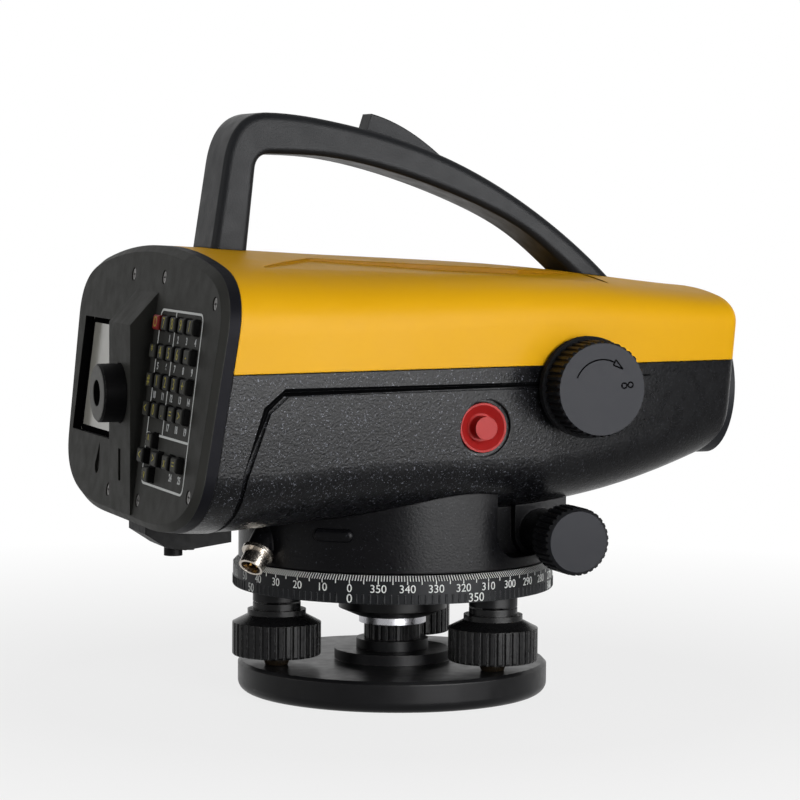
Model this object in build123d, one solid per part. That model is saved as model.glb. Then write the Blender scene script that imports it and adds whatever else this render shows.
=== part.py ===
"""Digital surveying level: base plate, levelling head, graduated circle and rotating body."""
from build123d import *

import os
from math import atan2, cos, degrees, radians, sin, tan

os.makedirs("parts", exist_ok=True)

# Frame: origin on the vertical axis at the underside of the base plate, X along the line of sight
# towards the objective, Z up, negative Y on the side of the focusing knob. Millimetres and degrees.

# Clearances
RUN_GAP = 0.05       # radial gap of a shaft that turns in its bearing
SLIDE_GAP = 0.3      # gap beside a piece that slides or turns without being carried there
SEAT_GAP = 0.1       # gap between seated pieces of one body
SEAM = 0.3           # joint line between the two halves of the casing

# Allowances
OVERCUT = 1.0        # reach of a cutter beyond the surface that it opens
FUSE = 1.0           # depth to which two shapes of one piece run into each other
FAR = 400.0          # reach of a cutter that passes right through
UPRIGHT = (Align.CENTER, Align.CENTER, Align.MIN)

# Base plate
BASE_R = 60.0
BASE_H = 12.0
BASE_EDGE = 4.0
BASE_RIM = 1.2
DISC_R = 22.5
DISC_H = 4.0
THREAD_R = 6.75      # tapping bore of a 5/8 inch, 11 turns per inch tripod thread
THREAD_DEPTH = 13.0

# Guide pin between base plate and levelling head
PIN_FLANGE_R = 14.0
PIN_FLANGE_H = 4.0
PIN_NUT_R = 11.0
PIN_NUT_H = 6.0
PIN_R = 6.0
PIN_LENGTH = 12.5
PIN_END_GAP = 3.5
PIN_FLUTES = 24
PIN_FLUTE_R = 0.7

# Foot screws
FOOT_CIRCLE_R = 48.0
FOOT_ANGLES = (-57.7, 62.3, 182.3)
FOOT_BALL_R = 5.0
FOOT_BALL_SINK = 2.4
FOOT_NECK_R = 4.5
FOOT_KNOB_R = 17.0
FOOT_KNOB_RISE = 3.8   # of the knob above the base plate
FOOT_KNOB_H = 12.7
FOOT_DOME_H = 3.0
FOOT_FLANGE_R = 11.2
FOOT_FLANGE_H = 2.0
FOOT_SLEEVE_R = 9.2
FOOT_SLEEVE_H = 2.5
FOOT_SPINDLE_R = 4.0
FOOT_SPINDLE_L = 10.5
FOOT_RIBS = 36
FOOT_RIB_R = 0.75
FOOT_EDGE = 1.0

# Levelling head, axis spindle and graduated circle
HEAD_GAP = 0.6       # gap above the foot screws at the lowest setting
HEAD_BOSS_H = 5.9
HEAD_H = 6.5
HUB_R = 21.0
HUB_H = 10.5
HUB_TIP_R = 14.0
HUB_TIP_H = 3.0
AXIS_R = 10.0
AXIS_COLLAR_R = 13.0
AXIS_COLLAR_H = 2.6
AXIS_RISE = 18.7     # of the spindle above the underside of the rotating base
RING_R = 62.0
RING_WALL = 3.4
RING_H = 10.6
RING_LIP_R = 52.0
RING_LIP_H = 2.5
RING_GAP = 0.5
RING_BEVEL = 2.0

# Rotating base under the casing
DRUM_R = 60.0
DRUM_TOP = 100.0     # well inside the casing, which cuts the drum off

# Horizontal fine drive
DRIVE_X = 45.0
DRIVE_RISE = 11.9    # of the shaft above the underside of the rotating base
DRIVE_SLEEVE_R = 8.8
DRIVE_SLEEVE_Y = 58.0
DRIVE_BLOCK_HALF = 10.5
DRIVE_BLOCK_Y = 40.0
POCKET_REACH = 24.5  # of the cut beside the block, from the shaft towards the rear
POCKET_RISE = 3.7
POCKET_Y = 36.0
POCKET_CORNER = 10.0
DRIVE_SHAFT_R = 3.0
WORM_R = 7.7
WORM_HALF = 9.0
WHEEL_H = 5.5
DRIVE_KNOB_R = 12.7
DRIVE_KNOB_L = 14.0
DRIVE_KNOB_EDGE = 1.4
DRIVE_NECK_L = 4.0
DRIVE_RIBS = 32
DRIVE_RIB_R = 0.6

# Casing: sections across the line of sight, at these stations
STATIONS = (-122.0, -60.0, 0.0, 60.0, 100.0, 125.5)
CREST_Z = (172.0, 170.3, 167.3, 163.3, 158.8, 156.4)
KEEL_Z = (72.4, 68.8, 71.4, 76.0, 85.5, 94.5)
REAR_X = -96.0       # where the rear half width is measured
HALF_REAR = 98.0
HALF_FRONT = 45.0
DRAFT_REAR = 7.0
DRAFT_FRONT = 5.0
SWEEP_W_REAR = 60.0
SWEEP_W_FRONT = 21.0
SWEEP_H_REAR = 25.0
SWEEP_H_FRONT = 19.0
SHOULDER_W_REAR = 28.0
SHOULDER_W_FRONT = 14.0
SHOULDER_H_REAR = 24.0
SHOULDER_H_FRONT = 12.0
CROWN_REAR = 6.0
CROWN_FRONT = 2.5
WALL = 3.0
NOSE_R = 5.5
CHIN_R = 30.0
CHIN_Z = 114.0        # height at which the front starts to curve back under the objective
SPLIT_Z = 129.0
RECESS = (1.2, 1.2, 1.2, -0.4, -0.4, -0.4)   # at each station; it fades out under the focusing knob
RECESS_OUTLINE = (   # as (X, Z)
    (-93.0, 60.0), (-89.0, 93.0), (-81.0, 116.5), (-74.0, 122.4), (44.0, 122.4), (44.0, 60.0),
)
SHELF = (            # as X, half width of the raised strip, depth of the shelf beside it
    (-74.0, 64.0, 0.0), (-46.0, 32.0, 1.2), (8.0, 31.0, 2.0), (40.0, 27.0, 1.6), (72.0, 12.0, -0.1),
)
SHELF_CLEAR = 10.0
GROOVE_W = 1.8       # along the rear and upper edge of the recess
GROOVE_DEPTH = 1.0

# Telescope
SIGHT_Z = 117.0
TUBE_R = 22.0
TUBE_WALL = 2.5
TUBE_REAR = -66.0
TUBE_FRONT = 100.0
TUBE_END_WALL = 4.0
NECK_R = 9.0
NECK_BORE_R = 7.0
CELL_R = 27.5
CELL_REAR = 96.0
CELL_FRONT = 133.0
CELL_MOUTH_R = 24.0
CELL_MOUTH_L = 9.0
CELL_BORE_R = 20.0
LENS_R = 22.0
LENS_EDGE = 4.0
LENS_BULGE = 3.0
SADDLES = (-50.0, 82.0)
SADDLE_T = 6.0
SADDLE_HALF = 26.0

# Focusing
FOCUS_X = 51.5
FOCUS_Z = 121.0
FOCUS_FACE_Y = -81.0
FOCUS_KNOB_R = 17.8
FOCUS_KNOB_L = 14.5
FOCUS_RIM_R = 19.0
FOCUS_RIM_L = 3.0
FOCUS_EDGE = 0.8
FOCUS_SHAFT_R = 3.0
FOCUS_BUSH_R = 14.0
FOCUS_BUSH_L = 10.0
PINION_R = 4.0
PINION_L = 6.0
PINION_END_Y = -12.5
FOCUS_RIBS = 40
FOCUS_RIB_R = 0.8
SLIDER_X = 10.0
SLIDER_L = 20.0
SLIDER_BORE_R = 15.0
SLIDER_LIP = 2.0
RACK_L = 45.0
RACK_H = 3.7
RACK_W = 5.0
FOCUS_LENS_EDGE = 3.0

# Compensator and line sensor
SWING_X = -32.0
SWING_Z = 131.0
SWING_PIN_R = 1.2
SWING_PIN_HALF = 13.0
LUG_T = 3.0
LUG_HALF = 3.5
LUG_BELOW = 3.5
PRISM_HALF_X = 8.0
PRISM_HALF_Y = 8.5
PRISM_H = 22.0
SENSOR_X = -53.0
SENSOR_HALF_X = 8.0
SENSOR_HALF_Y = 12.0
SENSOR_T = 1.8
SLOT_HALF_X = 5.0
SLOT_HALF_Y = 4.0

# Rear panel: a leaning face, with an upright rib for the eyepiece
FACE_X = -103.5      # face on the line of sight's height
FACE_LEAN = 7.0
PANEL_DEPTH = 7.0
FACE_T = 3.5
PANEL_EDGE = 2.5
RIB_X = -109.7
RIB_HALF = 15.0
RIB_SLOPE_Z = 143.0
RIB_TOP_Z = 155.0
RIB_FOOT_Z = 72.5
EYE_R = 11.0
EYE_END_X = -118.5
EYE_FOOT_X = -107.0
EYE_END_WALL = 3.0
EYE_HOLE_R = 5.0
EYE_LENS_L = 4.0
EYE_EDGE = 0.8

# Display, in the plane of the face: S to the right seen from behind, T up
LCD_SIDE = 12.0      # from the casing's half width to the outer edge of the opening
LCD_INNER = 8.0      # from the rib to its inner edge
LCD_T = (-20.0, 25.5)
LCD_LAP = 1.8
LCD_DEPTH = 4.5
DROP_S = -42.0
DROP_T = -31.0
DROP_R = 3.2
DROP_H = 9.0
MARK_DEPTH = 1.2
SLOT_T = -27.0
SLOT_W = 3.2
SLOT_L = 12.0

# Keys
KEY_FIRST_S = 25.6
KEY_PITCH_S = 11.0
KEY_FIRST_T = 27.4
KEY_PITCH_T = 10.6
KEY_COLUMNS = 5
KEY_ROWS = 4
KEY_W = 7.0
KEY_H = 5.4
KEY_PROUD = 3.0
KEY_EDGE = 0.6
KEY_TRAVEL = 1.0
KEY_FLANGE = 0.8
KEY_FLANGE_T = 1.0
PAD_ROW_T = -21.6
PAD_STEP_T = 6.2
PAD_STEP_S = 9.2
BOARD_S = (14.0, 78.0)
BOARD_T = (-29.5, 37.5)
BOARD_THICK = 1.6
BOARD_GAP = 0.4
POST_R = 2.2
POST_INSET = 2.6
SCREW_PLACES = (
    (-22.0, 44.1), (20.0, 44.1), (HALF_REAR - 11.0, 36.7),
    (-22.0, -38.8), (20.0, -38.8), (HALF_REAR - 15.0, -31.5),
)
SCREW_HEAD_R = 2.2
SCREW_HEAD_T = 1.6
SCREW_SHANK_R = 1.2
SCREW_LENGTH = 5.0
SCREW_SINK = 0.3
SCREW_SLOT_W = 0.3
SCREW_CROSS_R = 1.5
SCREW_CROSS_DEPTH = 0.5

# Measuring button
BUTTON_X = 11.1
BUTTON_Z = 106.4
BUTTON_RIM_Y = -64.6
BUTTON_R = 9.2
BUTTON_RIM = 0.8
BUTTON_BOWL = 2.6
BUTTON_BOWL_R = 5.2
BUTTON_CAP_R = 4.3
BUTTON_CAP_H = 3.2
BUTTON_THICK = 4.2
BUTTON_TRAVEL = 1.5
WELL_WALL = 3.8
WELL_FLOOR = 2.0
WELL_MOUTH_R = 10.8
WELL_MOUTH_L = 1.5

# Carrying handle: outline in the vertical plane of the line of sight, as (X, Z)
HANDLE_HALF = 14.0
HANDLE_EDGE = 3.0
HANDLE_FOOT_Z = 150.0
LEG_REAR_FOOT_X = -81.0
LEG_REAR_TOP = (-73.0, 203.0)
TOP_CORNER = ((-70.1, 222.2), (-56.0, 222.1))
ARCH_OUTER = ((-30.0, 219.2), (10.2, 208.4), (51.5, 187.0), (80.5, 164.2))
ARCH_OUTER_FOOT_X = 95.0
ARCH_FOOT_WIDTH = 13.0
ARCH_INNER = ((67.0, 163.5), (51.0, 176.5), (27.0, 189.0), (-27.0, 205.0))
GAP_CORNER = ((-55.0, 206.6), (-60.2, 206.6), (-60.8, 201.0))
LEG_FRONT_FOOT_X = -66.0
ARCH_FOOT_LEAN = 44.0
SIGHT_REAR = (-15.0, 213.0)
SIGHT_PEAK = (-12.0, 222.5)
SIGHT_SLOPE = ((0.3, 217.8), (12.7, 209.8))
SIGHT_FRONT = (24.0, 200.0)
SIGHT_HALF = 5.0

# Battery compartment in the side away from the focusing knob
BATTERY_X = (-80.0, -26.0)
BATTERY_Y = (34.0, 64.0)
BATTERY_Z = (90.0, 114.0)
TRAY_T = 5.0
DOOR_X = -52.0
DOOR_LENGTH = 58.0
DOOR_Z = (94.0, 119.0)
DOOR_AXIS_Z = 91.4
DOOR_GAP = 0.7
DOOR_BEAD_R = 2.2
DOOR_BEAD_OUT = 0.6
DOOR_PIN_R = 1.1
DOOR_EAR_L = 5.0
DOOR_EAR_ROOT = 6.0
DOOR_SWEEP = 14.0

# Holder of the circular level, under the rear of the casing: outline as (X, Z)
LEVEL_OUTLINE = ((-103.5, 65.0), (-95.0, 59.5), (-88.0, 58.5), (-70.0, 61.0))
LEVEL_Y = (-14.0, 9.0)
LEVEL_CAP_R = 3.5
LEVEL_CAP_Z = 55.5
LEVEL_CAP_PLACE = (-89.5, -3.0)
LEVEL_SCREW_R = 1.6
LEVEL_SCREW_Z = 57.0
LEVEL_SCREW_PLACE = (-82.0, 0.0)

# Data socket on the rotating base
SOCKET_ANGLE = 196.5
SOCKET_TURN = 20.0   # of the socket's axis away from the radius
SOCKET_DIP = 48.0
SOCKET_R = 4.8
SOCKET_FLANGE_R = 6.2
SOCKET_FLANGE_T = 1.6
SOCKET_OUT = 1.9     # start of the socket's axis outside the drum
SOCKET_RISE = 7.3    # and above the underside of the rotating base
SOCKET_PAD_R = 5.2
SOCKET_PAD_L = 2.4
SOCKET_ROOT = 8.0    # reach of the pad into the drum
SOCKET_L = 7.6
SOCKET_BORE_R = 3.8
SOCKET_BORE_L = 5.0


# Shape helpers
def cyl_x(r, x0, x1, y=0.0, z=0.0):
    return Pos((x0 + x1) / 2, y, z) * Rot(0, 90, 0) * Cylinder(r, x1 - x0)


def cyl_y(r, y0, y1, x=0.0, z=0.0):
    return Pos(x, (y0 + y1) / 2, z) * Rot(90, 0, 0) * Cylinder(r, y1 - y0)


def cyl_z(r, z0, z1, x=0.0, y=0.0):
    return Pos(x, y, (z0 + z1) / 2) * Cylinder(r, z1 - z0)


def block(xs, ys, zs):
    (x0, x1), (y0, y1), (z0, z1) = xs, ys, zs
    return Pos((x0 + x1) / 2, (y0 + y1) / 2, (z0 + z1) / 2) * Box(x1 - x0, y1 - y0, z1 - z0)


def about(middle, half):
    """Span of the given half length about a middle."""
    return (middle - half, middle + half)


def turned(points):
    """Solid of revolution about Z from (radius, height) points."""
    outline = Polyline(*[(r, 0, z) for r, z in points], close=True)
    return revolve(make_face(outline), Axis.Z)


def around(count, radius):
    """Places spread evenly on a circle about Z."""
    return [Rot(0, 0, 360.0 * i / count) * Pos(radius, 0, 0) for i in range(count)]


def fluted(body, count, radius, groove, height):
    """Cut upright grooves into the rim of a round body that stands on the XY plane."""
    cutters = [place * Cylinder(groove, 2 * height) for place in around(count, radius)]
    return body - cutters


def save(node, shape):
    export_step(shape, "parts/" + node + ".step")


# Places that follow from the sizes above
pin_top = BASE_H + DISC_H + PIN_FLANGE_H + PIN_NUT_H
foot_ball_z = BASE_H - FOOT_BALL_SINK + FOOT_BALL_R
foot_knob_z = BASE_H + FOOT_KNOB_RISE
foot_dome_z = foot_knob_z + FOOT_KNOB_H
foot_flange_z = foot_dome_z + FOOT_DOME_H
foot_sleeve_z = foot_flange_z + FOOT_FLANGE_H
foot_top = foot_sleeve_z + FOOT_SLEEVE_H
boss_z = foot_top + HEAD_GAP
head_z = boss_z + HEAD_BOSS_H
head_top = head_z + HEAD_H
hub_z = head_z - HUB_H
hub_tip_z = hub_z - HUB_TIP_H
ring_in = RING_R - RING_WALL
head_r = ring_in - 2 * RUN_GAP
lip_z = head_top + SLIDE_GAP
ring_top = lip_z + RING_LIP_H
ring_z = ring_top - RING_H
alidade_z = ring_top + RING_GAP
axis_top = alidade_z + AXIS_RISE
drive_z = alidade_z + DRIVE_RISE
tube_bore_r = TUBE_R - TUBE_WALL
lcd_s = (LCD_SIDE - HALF_REAR, -RIB_HALF - LCD_INNER)
foot_places = [Rot(0, 0, a) * Pos(FOOT_CIRCLE_R, 0, 0) for a in FOOT_ANGLES]


def station_value(x, rear, front):
    """A casing size that changes evenly from the rear measure to the front one."""
    return rear + (front - rear) * (x - REAR_X) / (STATIONS[-1] - REAR_X)


def section(index, inset):
    """Closed outline of the casing at one station, drawn in by the inset."""
    x = STATIONS[index]
    if index == len(STATIONS) - 1:
        x -= inset
    top = CREST_Z[index] - inset
    keel = KEEL_Z[index] + inset
    half = station_value(STATIONS[index], HALF_REAR, HALF_FRONT) - inset
    low = half - station_value(STATIONS[index], DRAFT_REAR, DRAFT_FRONT)
    sweep_w = station_value(STATIONS[index], SWEEP_W_REAR, SWEEP_W_FRONT)
    sweep_h = station_value(STATIONS[index], SWEEP_H_REAR, SWEEP_H_FRONT)
    shoulder_w = station_value(STATIONS[index], SHOULDER_W_REAR, SHOULDER_W_FRONT)
    shoulder_h = station_value(STATIONS[index], SHOULDER_H_REAR, SHOULDER_H_FRONT)
    crown = station_value(STATIONS[index], CROWN_REAR, CROWN_FRONT)
    corner_z = top - crown
    crown_half = half - shoulder_w
    crown_slope = 2 * crown / crown_half
    side_low = keel + sweep_h
    side_high = corner_z - shoulder_h
    lean = (half - low) / (side_high - side_low)
    turn_z = corner_z - shoulder_w * crown_slope
    turn_y = half + lean * (turn_z - side_high)
    foot_y = low - lean * sweep_h

    def half_outline(side):
        return (
            Bezier((x, side * (low - sweep_w), keel), (x, side * foot_y, keel), (x, side * low, side_low)),
            Line((x, side * low, side_low), (x, side * half, side_high)),
            Bezier(
                (x, side * half, side_high), (x, side * turn_y, turn_z), (x, side * crown_half, corner_z)
            ),
        )

    crest = ThreePointArc((x, -crown_half, corner_z), (x, 0, top), (x, crown_half, corner_z))
    floor = Line((x, low - sweep_w, keel), (x, sweep_w - low, keel))
    return Wire([*half_outline(-1), crest, *half_outline(1), floor])


def chin(inset):
    """What the rounding under the objective takes away."""
    x = STATIONS[-1] - CHIN_R
    corner = block((x, FAR), (-FAR, FAR), (0, CHIN_Z))
    return corner - cyl_y(CHIN_R - inset, -FAR, FAR, x, CHIN_Z)


def loft_body(insets):
    """The casing's long form, drawn in by one inset at each station."""
    return Solid.make_loft([section(index, inset) for index, inset in enumerate(insets)])


def envelope(inset):
    """The casing as one smooth body, drawn in by the inset."""
    shape = loft_body([inset] * len(STATIONS))
    if inset == 0:
        shape = fillet(shape.faces().sort_by(Axis.X)[-1].edges(), NOSE_R)
    return shape - chin(inset)


face_plane = Plane(
    origin=(FACE_X, 0, SIGHT_Z),
    x_dir=(0, -1, 0),
    z_dir=(-cos(radians(FACE_LEAN)), 0, sin(radians(FACE_LEAN))),
)


def face_slab(depth0, depth1):
    """Everything between two depths behind the rear face."""
    return face_plane * Pos(0, 0, -(depth0 + depth1) / 2) * Box(FAR, FAR, depth1 - depth0)


def face_block(ss, ts, depth0, depth1):
    """Box in the plane of the rear face, between two depths behind it."""
    (s0, s1), (t0, t1) = ss, ts
    place = Pos((s0 + s1) / 2, (t0 + t1) / 2, -(depth0 + depth1) / 2)
    return face_plane * place * Box(s1 - s0, t1 - t0, depth1 - depth0)


def face_pin(r, s, t, depth0, depth1):
    place = Pos(s, t, -(depth0 + depth1) / 2)
    return face_plane * place * Cylinder(r, depth1 - depth0)


def side_recess():
    """Reach of the shallow step in both flanks and the underside of the lower housing."""
    outline = Polyline(*[(x, -FAR, z) for x, z in RECESS_OUTLINE], close=True)
    return extrude(make_face(outline), 2 * FAR, dir=(0, 1, 0))


def recess_cut(extra):
    """What the step takes away, and more by the extra depth."""
    return side_recess() - loft_body([depth + extra for depth in RECESS])


def edge_groove():
    """Groove along the rear and upper edge of the step."""
    return recess_cut(GROOVE_DEPTH) - Pos(GROOVE_W, 0, -GROOVE_W) * side_recess()


body = envelope(0)
hollow = envelope(WALL)
skin = body - hollow
flank_cut = recess_cut(0) + edge_groove()
seat_body = envelope(-SEAT_GAP) - recess_cut(-SEAT_GAP)
ahead = face_slab(PANEL_DEPTH + SEAT_GAP, FAR)
above = block((-FAR, FAR), (-FAR, FAR), (SPLIT_Z + SEAM / 2, FAR))
below = block((-FAR, FAR), (-FAR, FAR), (-FAR, SPLIT_Z - SEAM / 2))


# Base plate with the tripod thread and three ball seats
def make_base_plate():
    plate = Cylinder(BASE_R, BASE_H, align=UPRIGHT)
    plate = fillet(plate.edges().sort_by(Axis.Z)[0], BASE_EDGE)
    plate = chamfer(plate.edges().sort_by(Axis.Z)[-1], BASE_RIM)
    plate += cyl_z(DISC_R, BASE_H, BASE_H + DISC_H)
    plate -= cyl_z(THREAD_R, -OVERCUT, THREAD_DEPTH)
    seat = Sphere(FOOT_BALL_R + SEAT_GAP)
    return plate - [place * Pos(0, 0, foot_ball_z) * seat for place in foot_places]


def make_guide_pin():
    z = BASE_H + DISC_H
    pin = cyl_z(PIN_FLANGE_R, z, z + PIN_FLANGE_H)
    nut = Cylinder(PIN_NUT_R, PIN_NUT_H, align=UPRIGHT)
    pin += Pos(0, 0, z + PIN_FLANGE_H) * fluted(nut, PIN_FLUTES, PIN_NUT_R, PIN_FLUTE_R, PIN_NUT_H)
    return pin + cyl_z(PIN_R, pin_top, pin_top + PIN_LENGTH)


def make_foot_screw():
    """Foot screw on the Z axis: ball, ribbed knob, sleeve and threaded spindle."""
    knob = Cylinder(FOOT_KNOB_R, FOOT_KNOB_H, align=UPRIGHT)
    knob = fillet(knob.edges().sort_by(Axis.Z)[0], FOOT_EDGE)
    knob = Pos(0, 0, foot_knob_z) * fluted(knob, FOOT_RIBS, FOOT_KNOB_R, FOOT_RIB_R, FOOT_KNOB_H)
    dome = Pos(0, 0, foot_dome_z) * Cone(FOOT_KNOB_R, FOOT_FLANGE_R, FOOT_DOME_H, align=UPRIGHT)
    screw = knob + dome
    screw += cyl_z(FOOT_FLANGE_R, foot_flange_z, foot_sleeve_z)
    screw += cyl_z(FOOT_SLEEVE_R, foot_sleeve_z, foot_top)
    screw += cyl_z(FOOT_SPINDLE_R, foot_top, foot_top + FOOT_SPINDLE_L)
    screw += cyl_z(FOOT_NECK_R, foot_ball_z, foot_knob_z)
    return screw + Pos(0, 0, foot_ball_z) * Sphere(FOOT_BALL_R)


def make_levelling_head():
    head = turned([
        (0, head_top), (head_r, head_top), (head_r, head_z), (HUB_R, head_z), (HUB_R, hub_z),
        (HUB_TIP_R, hub_tip_z), (0, hub_tip_z),
    ])
    head += [place * cyl_z(FOOT_SLEEVE_R, boss_z, head_z) for place in foot_places]
    bore_top = head_top - SEAT_GAP
    head -= [place * cyl_z(FOOT_SPINDLE_R + RUN_GAP, boss_z - OVERCUT, bore_top) for place in foot_places]
    return head - cyl_z(AXIS_R + RUN_GAP, hub_tip_z - OVERCUT, head_top + OVERCUT)


def make_axis_spindle():
    collar_top = hub_tip_z - SEAT_GAP
    collar_z = collar_top - AXIS_COLLAR_H
    spindle = cyl_z(AXIS_COLLAR_R, collar_z, collar_top) + cyl_z(AXIS_R, collar_top, axis_top)
    bore_top = pin_top + PIN_LENGTH + PIN_END_GAP
    return spindle - cyl_z(PIN_R + RUN_GAP, collar_z - OVERCUT, bore_top)


def make_circle_ring():
    return turned([
        (ring_in, ring_z), (RING_R, ring_z), (RING_R, ring_top - RING_BEVEL),
        (RING_R - RING_BEVEL, ring_top), (RING_LIP_R, ring_top), (RING_LIP_R, lip_z), (ring_in, lip_z),
    ])


# Fine drive: worm shaft across the rotating base, with a knob at each end
wheel_r = DRIVE_X - WORM_R - SLIDE_GAP
wheel_z = (drive_z - WHEEL_H / 2, drive_z + WHEEL_H / 2)
shaft_half = DRIVE_SLEEVE_Y + DRIVE_NECK_L + DRIVE_KNOB_L / 2


def make_worm_wheel():
    bore = cyl_z(AXIS_R + RUN_GAP, wheel_z[0] - OVERCUT, wheel_z[1] + OVERCUT)
    return cyl_z(wheel_r, *wheel_z) - bore


def make_drive_shaft():
    shaft = cyl_y(DRIVE_SHAFT_R, -shaft_half, shaft_half, DRIVE_X, drive_z)
    return shaft + cyl_y(WORM_R, -WORM_HALF, WORM_HALF, DRIVE_X, drive_z)


def make_drive_knob(side):
    """Ribbed knob, drawn upright and laid along Y on the given side."""
    knob = Cylinder(DRIVE_KNOB_R, DRIVE_KNOB_L, align=UPRIGHT)
    knob = chamfer(knob.edges().sort_by(Axis.Z)[-1], DRIVE_KNOB_EDGE)
    knob = fluted(knob, DRIVE_RIBS, DRIVE_KNOB_R, DRIVE_RIB_R, DRIVE_KNOB_L)
    knob += cyl_z(DRIVE_SLEEVE_R, SLIDE_GAP - DRIVE_NECK_L, 0)
    knob -= cyl_z(DRIVE_SHAFT_R + RUN_GAP, -DRIVE_NECK_L, DRIVE_KNOB_L / 2 + SEAT_GAP)
    return Pos(DRIVE_X, side * (DRIVE_SLEEVE_Y + DRIVE_NECK_L), drive_z) * Rot(-side * 90, 0, 0) * knob


def socket_place(along):
    """Place on the axis of the data socket, with Z pointing out of its mouth."""
    start = Rot(0, 0, SOCKET_ANGLE) * Pos(DRUM_R + SOCKET_OUT, 0, alidade_z + SOCKET_RISE)
    return start * Rot(0, 0, SOCKET_TURN) * Rot(0, 90 + SOCKET_DIP, 0) * Pos(0, 0, along)


def drive_pocket(side):
    """Cut into the drum beside the drive block, with a rounded lower corner."""
    reach = (DRIVE_X - POCKET_REACH, FAR)
    cut = block(reach, sorted((side * POCKET_Y, side * FAR)), (alidade_z + POCKET_RISE, FAR))
    corner = cut.edges().filter_by(Axis.Y).sort_by(lambda edge: edge.center().X + edge.center().Z)[0]
    return fillet(corner, POCKET_CORNER)


def make_alidade_base():
    base = cyl_z(DRUM_R, alidade_z, DRUM_TOP) - [drive_pocket(side) for side in (-1, 1)]
    across = about(0, DRIVE_BLOCK_Y)
    base += block(about(DRIVE_X, DRIVE_BLOCK_HALF), across, (drive_z, DRUM_TOP))
    base += cyl_y(DRIVE_BLOCK_HALF, *across, DRIVE_X, drive_z)
    base += cyl_y(DRIVE_SLEEVE_R, -DRIVE_SLEEVE_Y, DRIVE_SLEEVE_Y, DRIVE_X, drive_z)
    base += socket_place(-SOCKET_ROOT) * Cylinder(SOCKET_PAD_R, SOCKET_ROOT + SOCKET_PAD_L, align=UPRIGHT)
    base -= socket_place(SOCKET_PAD_L) * Cylinder(SOCKET_FLANGE_R + SEAT_GAP, FAR, align=UPRIGHT)
    base -= seat_body
    base = base.solids().sort_by(Axis.Z)[0]
    base -= cyl_z(AXIS_R + RUN_GAP, alidade_z - OVERCUT, axis_top + SLIDE_GAP)
    base -= cyl_z(wheel_r + SLIDE_GAP, wheel_z[0] - SLIDE_GAP, wheel_z[1] + SLIDE_GAP)
    base -= cyl_y(DRIVE_SHAFT_R + RUN_GAP, -FAR, FAR, DRIVE_X, drive_z)
    half = WORM_HALF + SLIDE_GAP
    return base - cyl_y(WORM_R + SLIDE_GAP, -half, half, DRIVE_X, drive_z)


def make_data_socket():
    start = SOCKET_PAD_L + SEAT_GAP
    socket = socket_place(start) * Cylinder(SOCKET_FLANGE_R, SOCKET_FLANGE_T, align=UPRIGHT)
    socket += socket_place(start) * Cylinder(SOCKET_R, SOCKET_L, align=UPRIGHT)
    mouth = start + SOCKET_L - SOCKET_BORE_L
    return socket - socket_place(mouth) * Cylinder(SOCKET_BORE_R, SOCKET_L, align=UPRIGHT)


# Side wall with the battery door: places along the straight wall line
wall_turn = degrees(atan2(HALF_FRONT - HALF_REAR, STATIONS[-1] - REAR_X))


def wall_place(x, z, out):
    """Place on the door side wall, X along the wall and Y pointing outwards."""
    half = station_value(x, HALF_REAR, HALF_FRONT)
    draft = station_value(x, DRAFT_REAR, DRAFT_FRONT)
    return Pos(x, half - draft, z) * Rot(0, 0, wall_turn) * Pos(0, out, 0)


def door_bead(r, length, shift=0.0):
    """Round bar along the foot of the battery door."""
    bar = Rot(0, 90, 0) * Cylinder(r, length)
    return wall_place(DOOR_X, DOOR_AXIS_Z, DOOR_BEAD_OUT) * Pos(shift, 0, 0) * bar


def door_region(half_length, z0, z1):
    """Upright block through the side wall."""
    box = Box(2 * half_length, 2 * DOOR_SWEEP, z1 - z0, align=UPRIGHT)
    return wall_place(DOOR_X, z0, 0) * box


door_half = DOOR_LENGTH / 2
bead_half = door_half - DOOR_EAR_L - SLIDE_GAP


def make_battery_door():
    plate = door_region(door_half, *DOOR_Z) + door_region(bead_half, DOOR_AXIS_Z, DOOR_Z[1])
    door = (skin - flank_cut) & plate
    door += door_bead(DOOR_BEAD_R, 2 * bead_half)
    return door + door_bead(DOOR_PIN_R, DOOR_LENGTH - 2 * SLIDE_GAP)


def door_opening():
    top = DOOR_Z[1] + DOOR_GAP
    opening = door_region(door_half + SLIDE_GAP, DOOR_Z[0] - SLIDE_GAP, top)
    opening += door_region(bead_half + SLIDE_GAP, DOOR_AXIS_Z, top)
    return opening + door_bead(DOOR_BEAD_R + DOOR_GAP, 2 * bead_half + 2 * SLIDE_GAP)


def door_ear(side):
    """Bearing of the door beside the bead, reaching back into the wall."""
    shift = side * (bead_half + SLIDE_GAP + DOOR_EAR_L / 2)
    root = Box(DOOR_EAR_L, DOOR_EAR_ROOT, 2 * DOOR_BEAD_R, align=(Align.CENTER, Align.MAX, Align.CENTER))
    root = wall_place(DOOR_X, DOOR_AXIS_Z, DOOR_BEAD_OUT) * Pos(shift, 0, 0) * root
    return root + door_bead(DOOR_BEAD_R, DOOR_EAR_L, shift)


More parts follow.
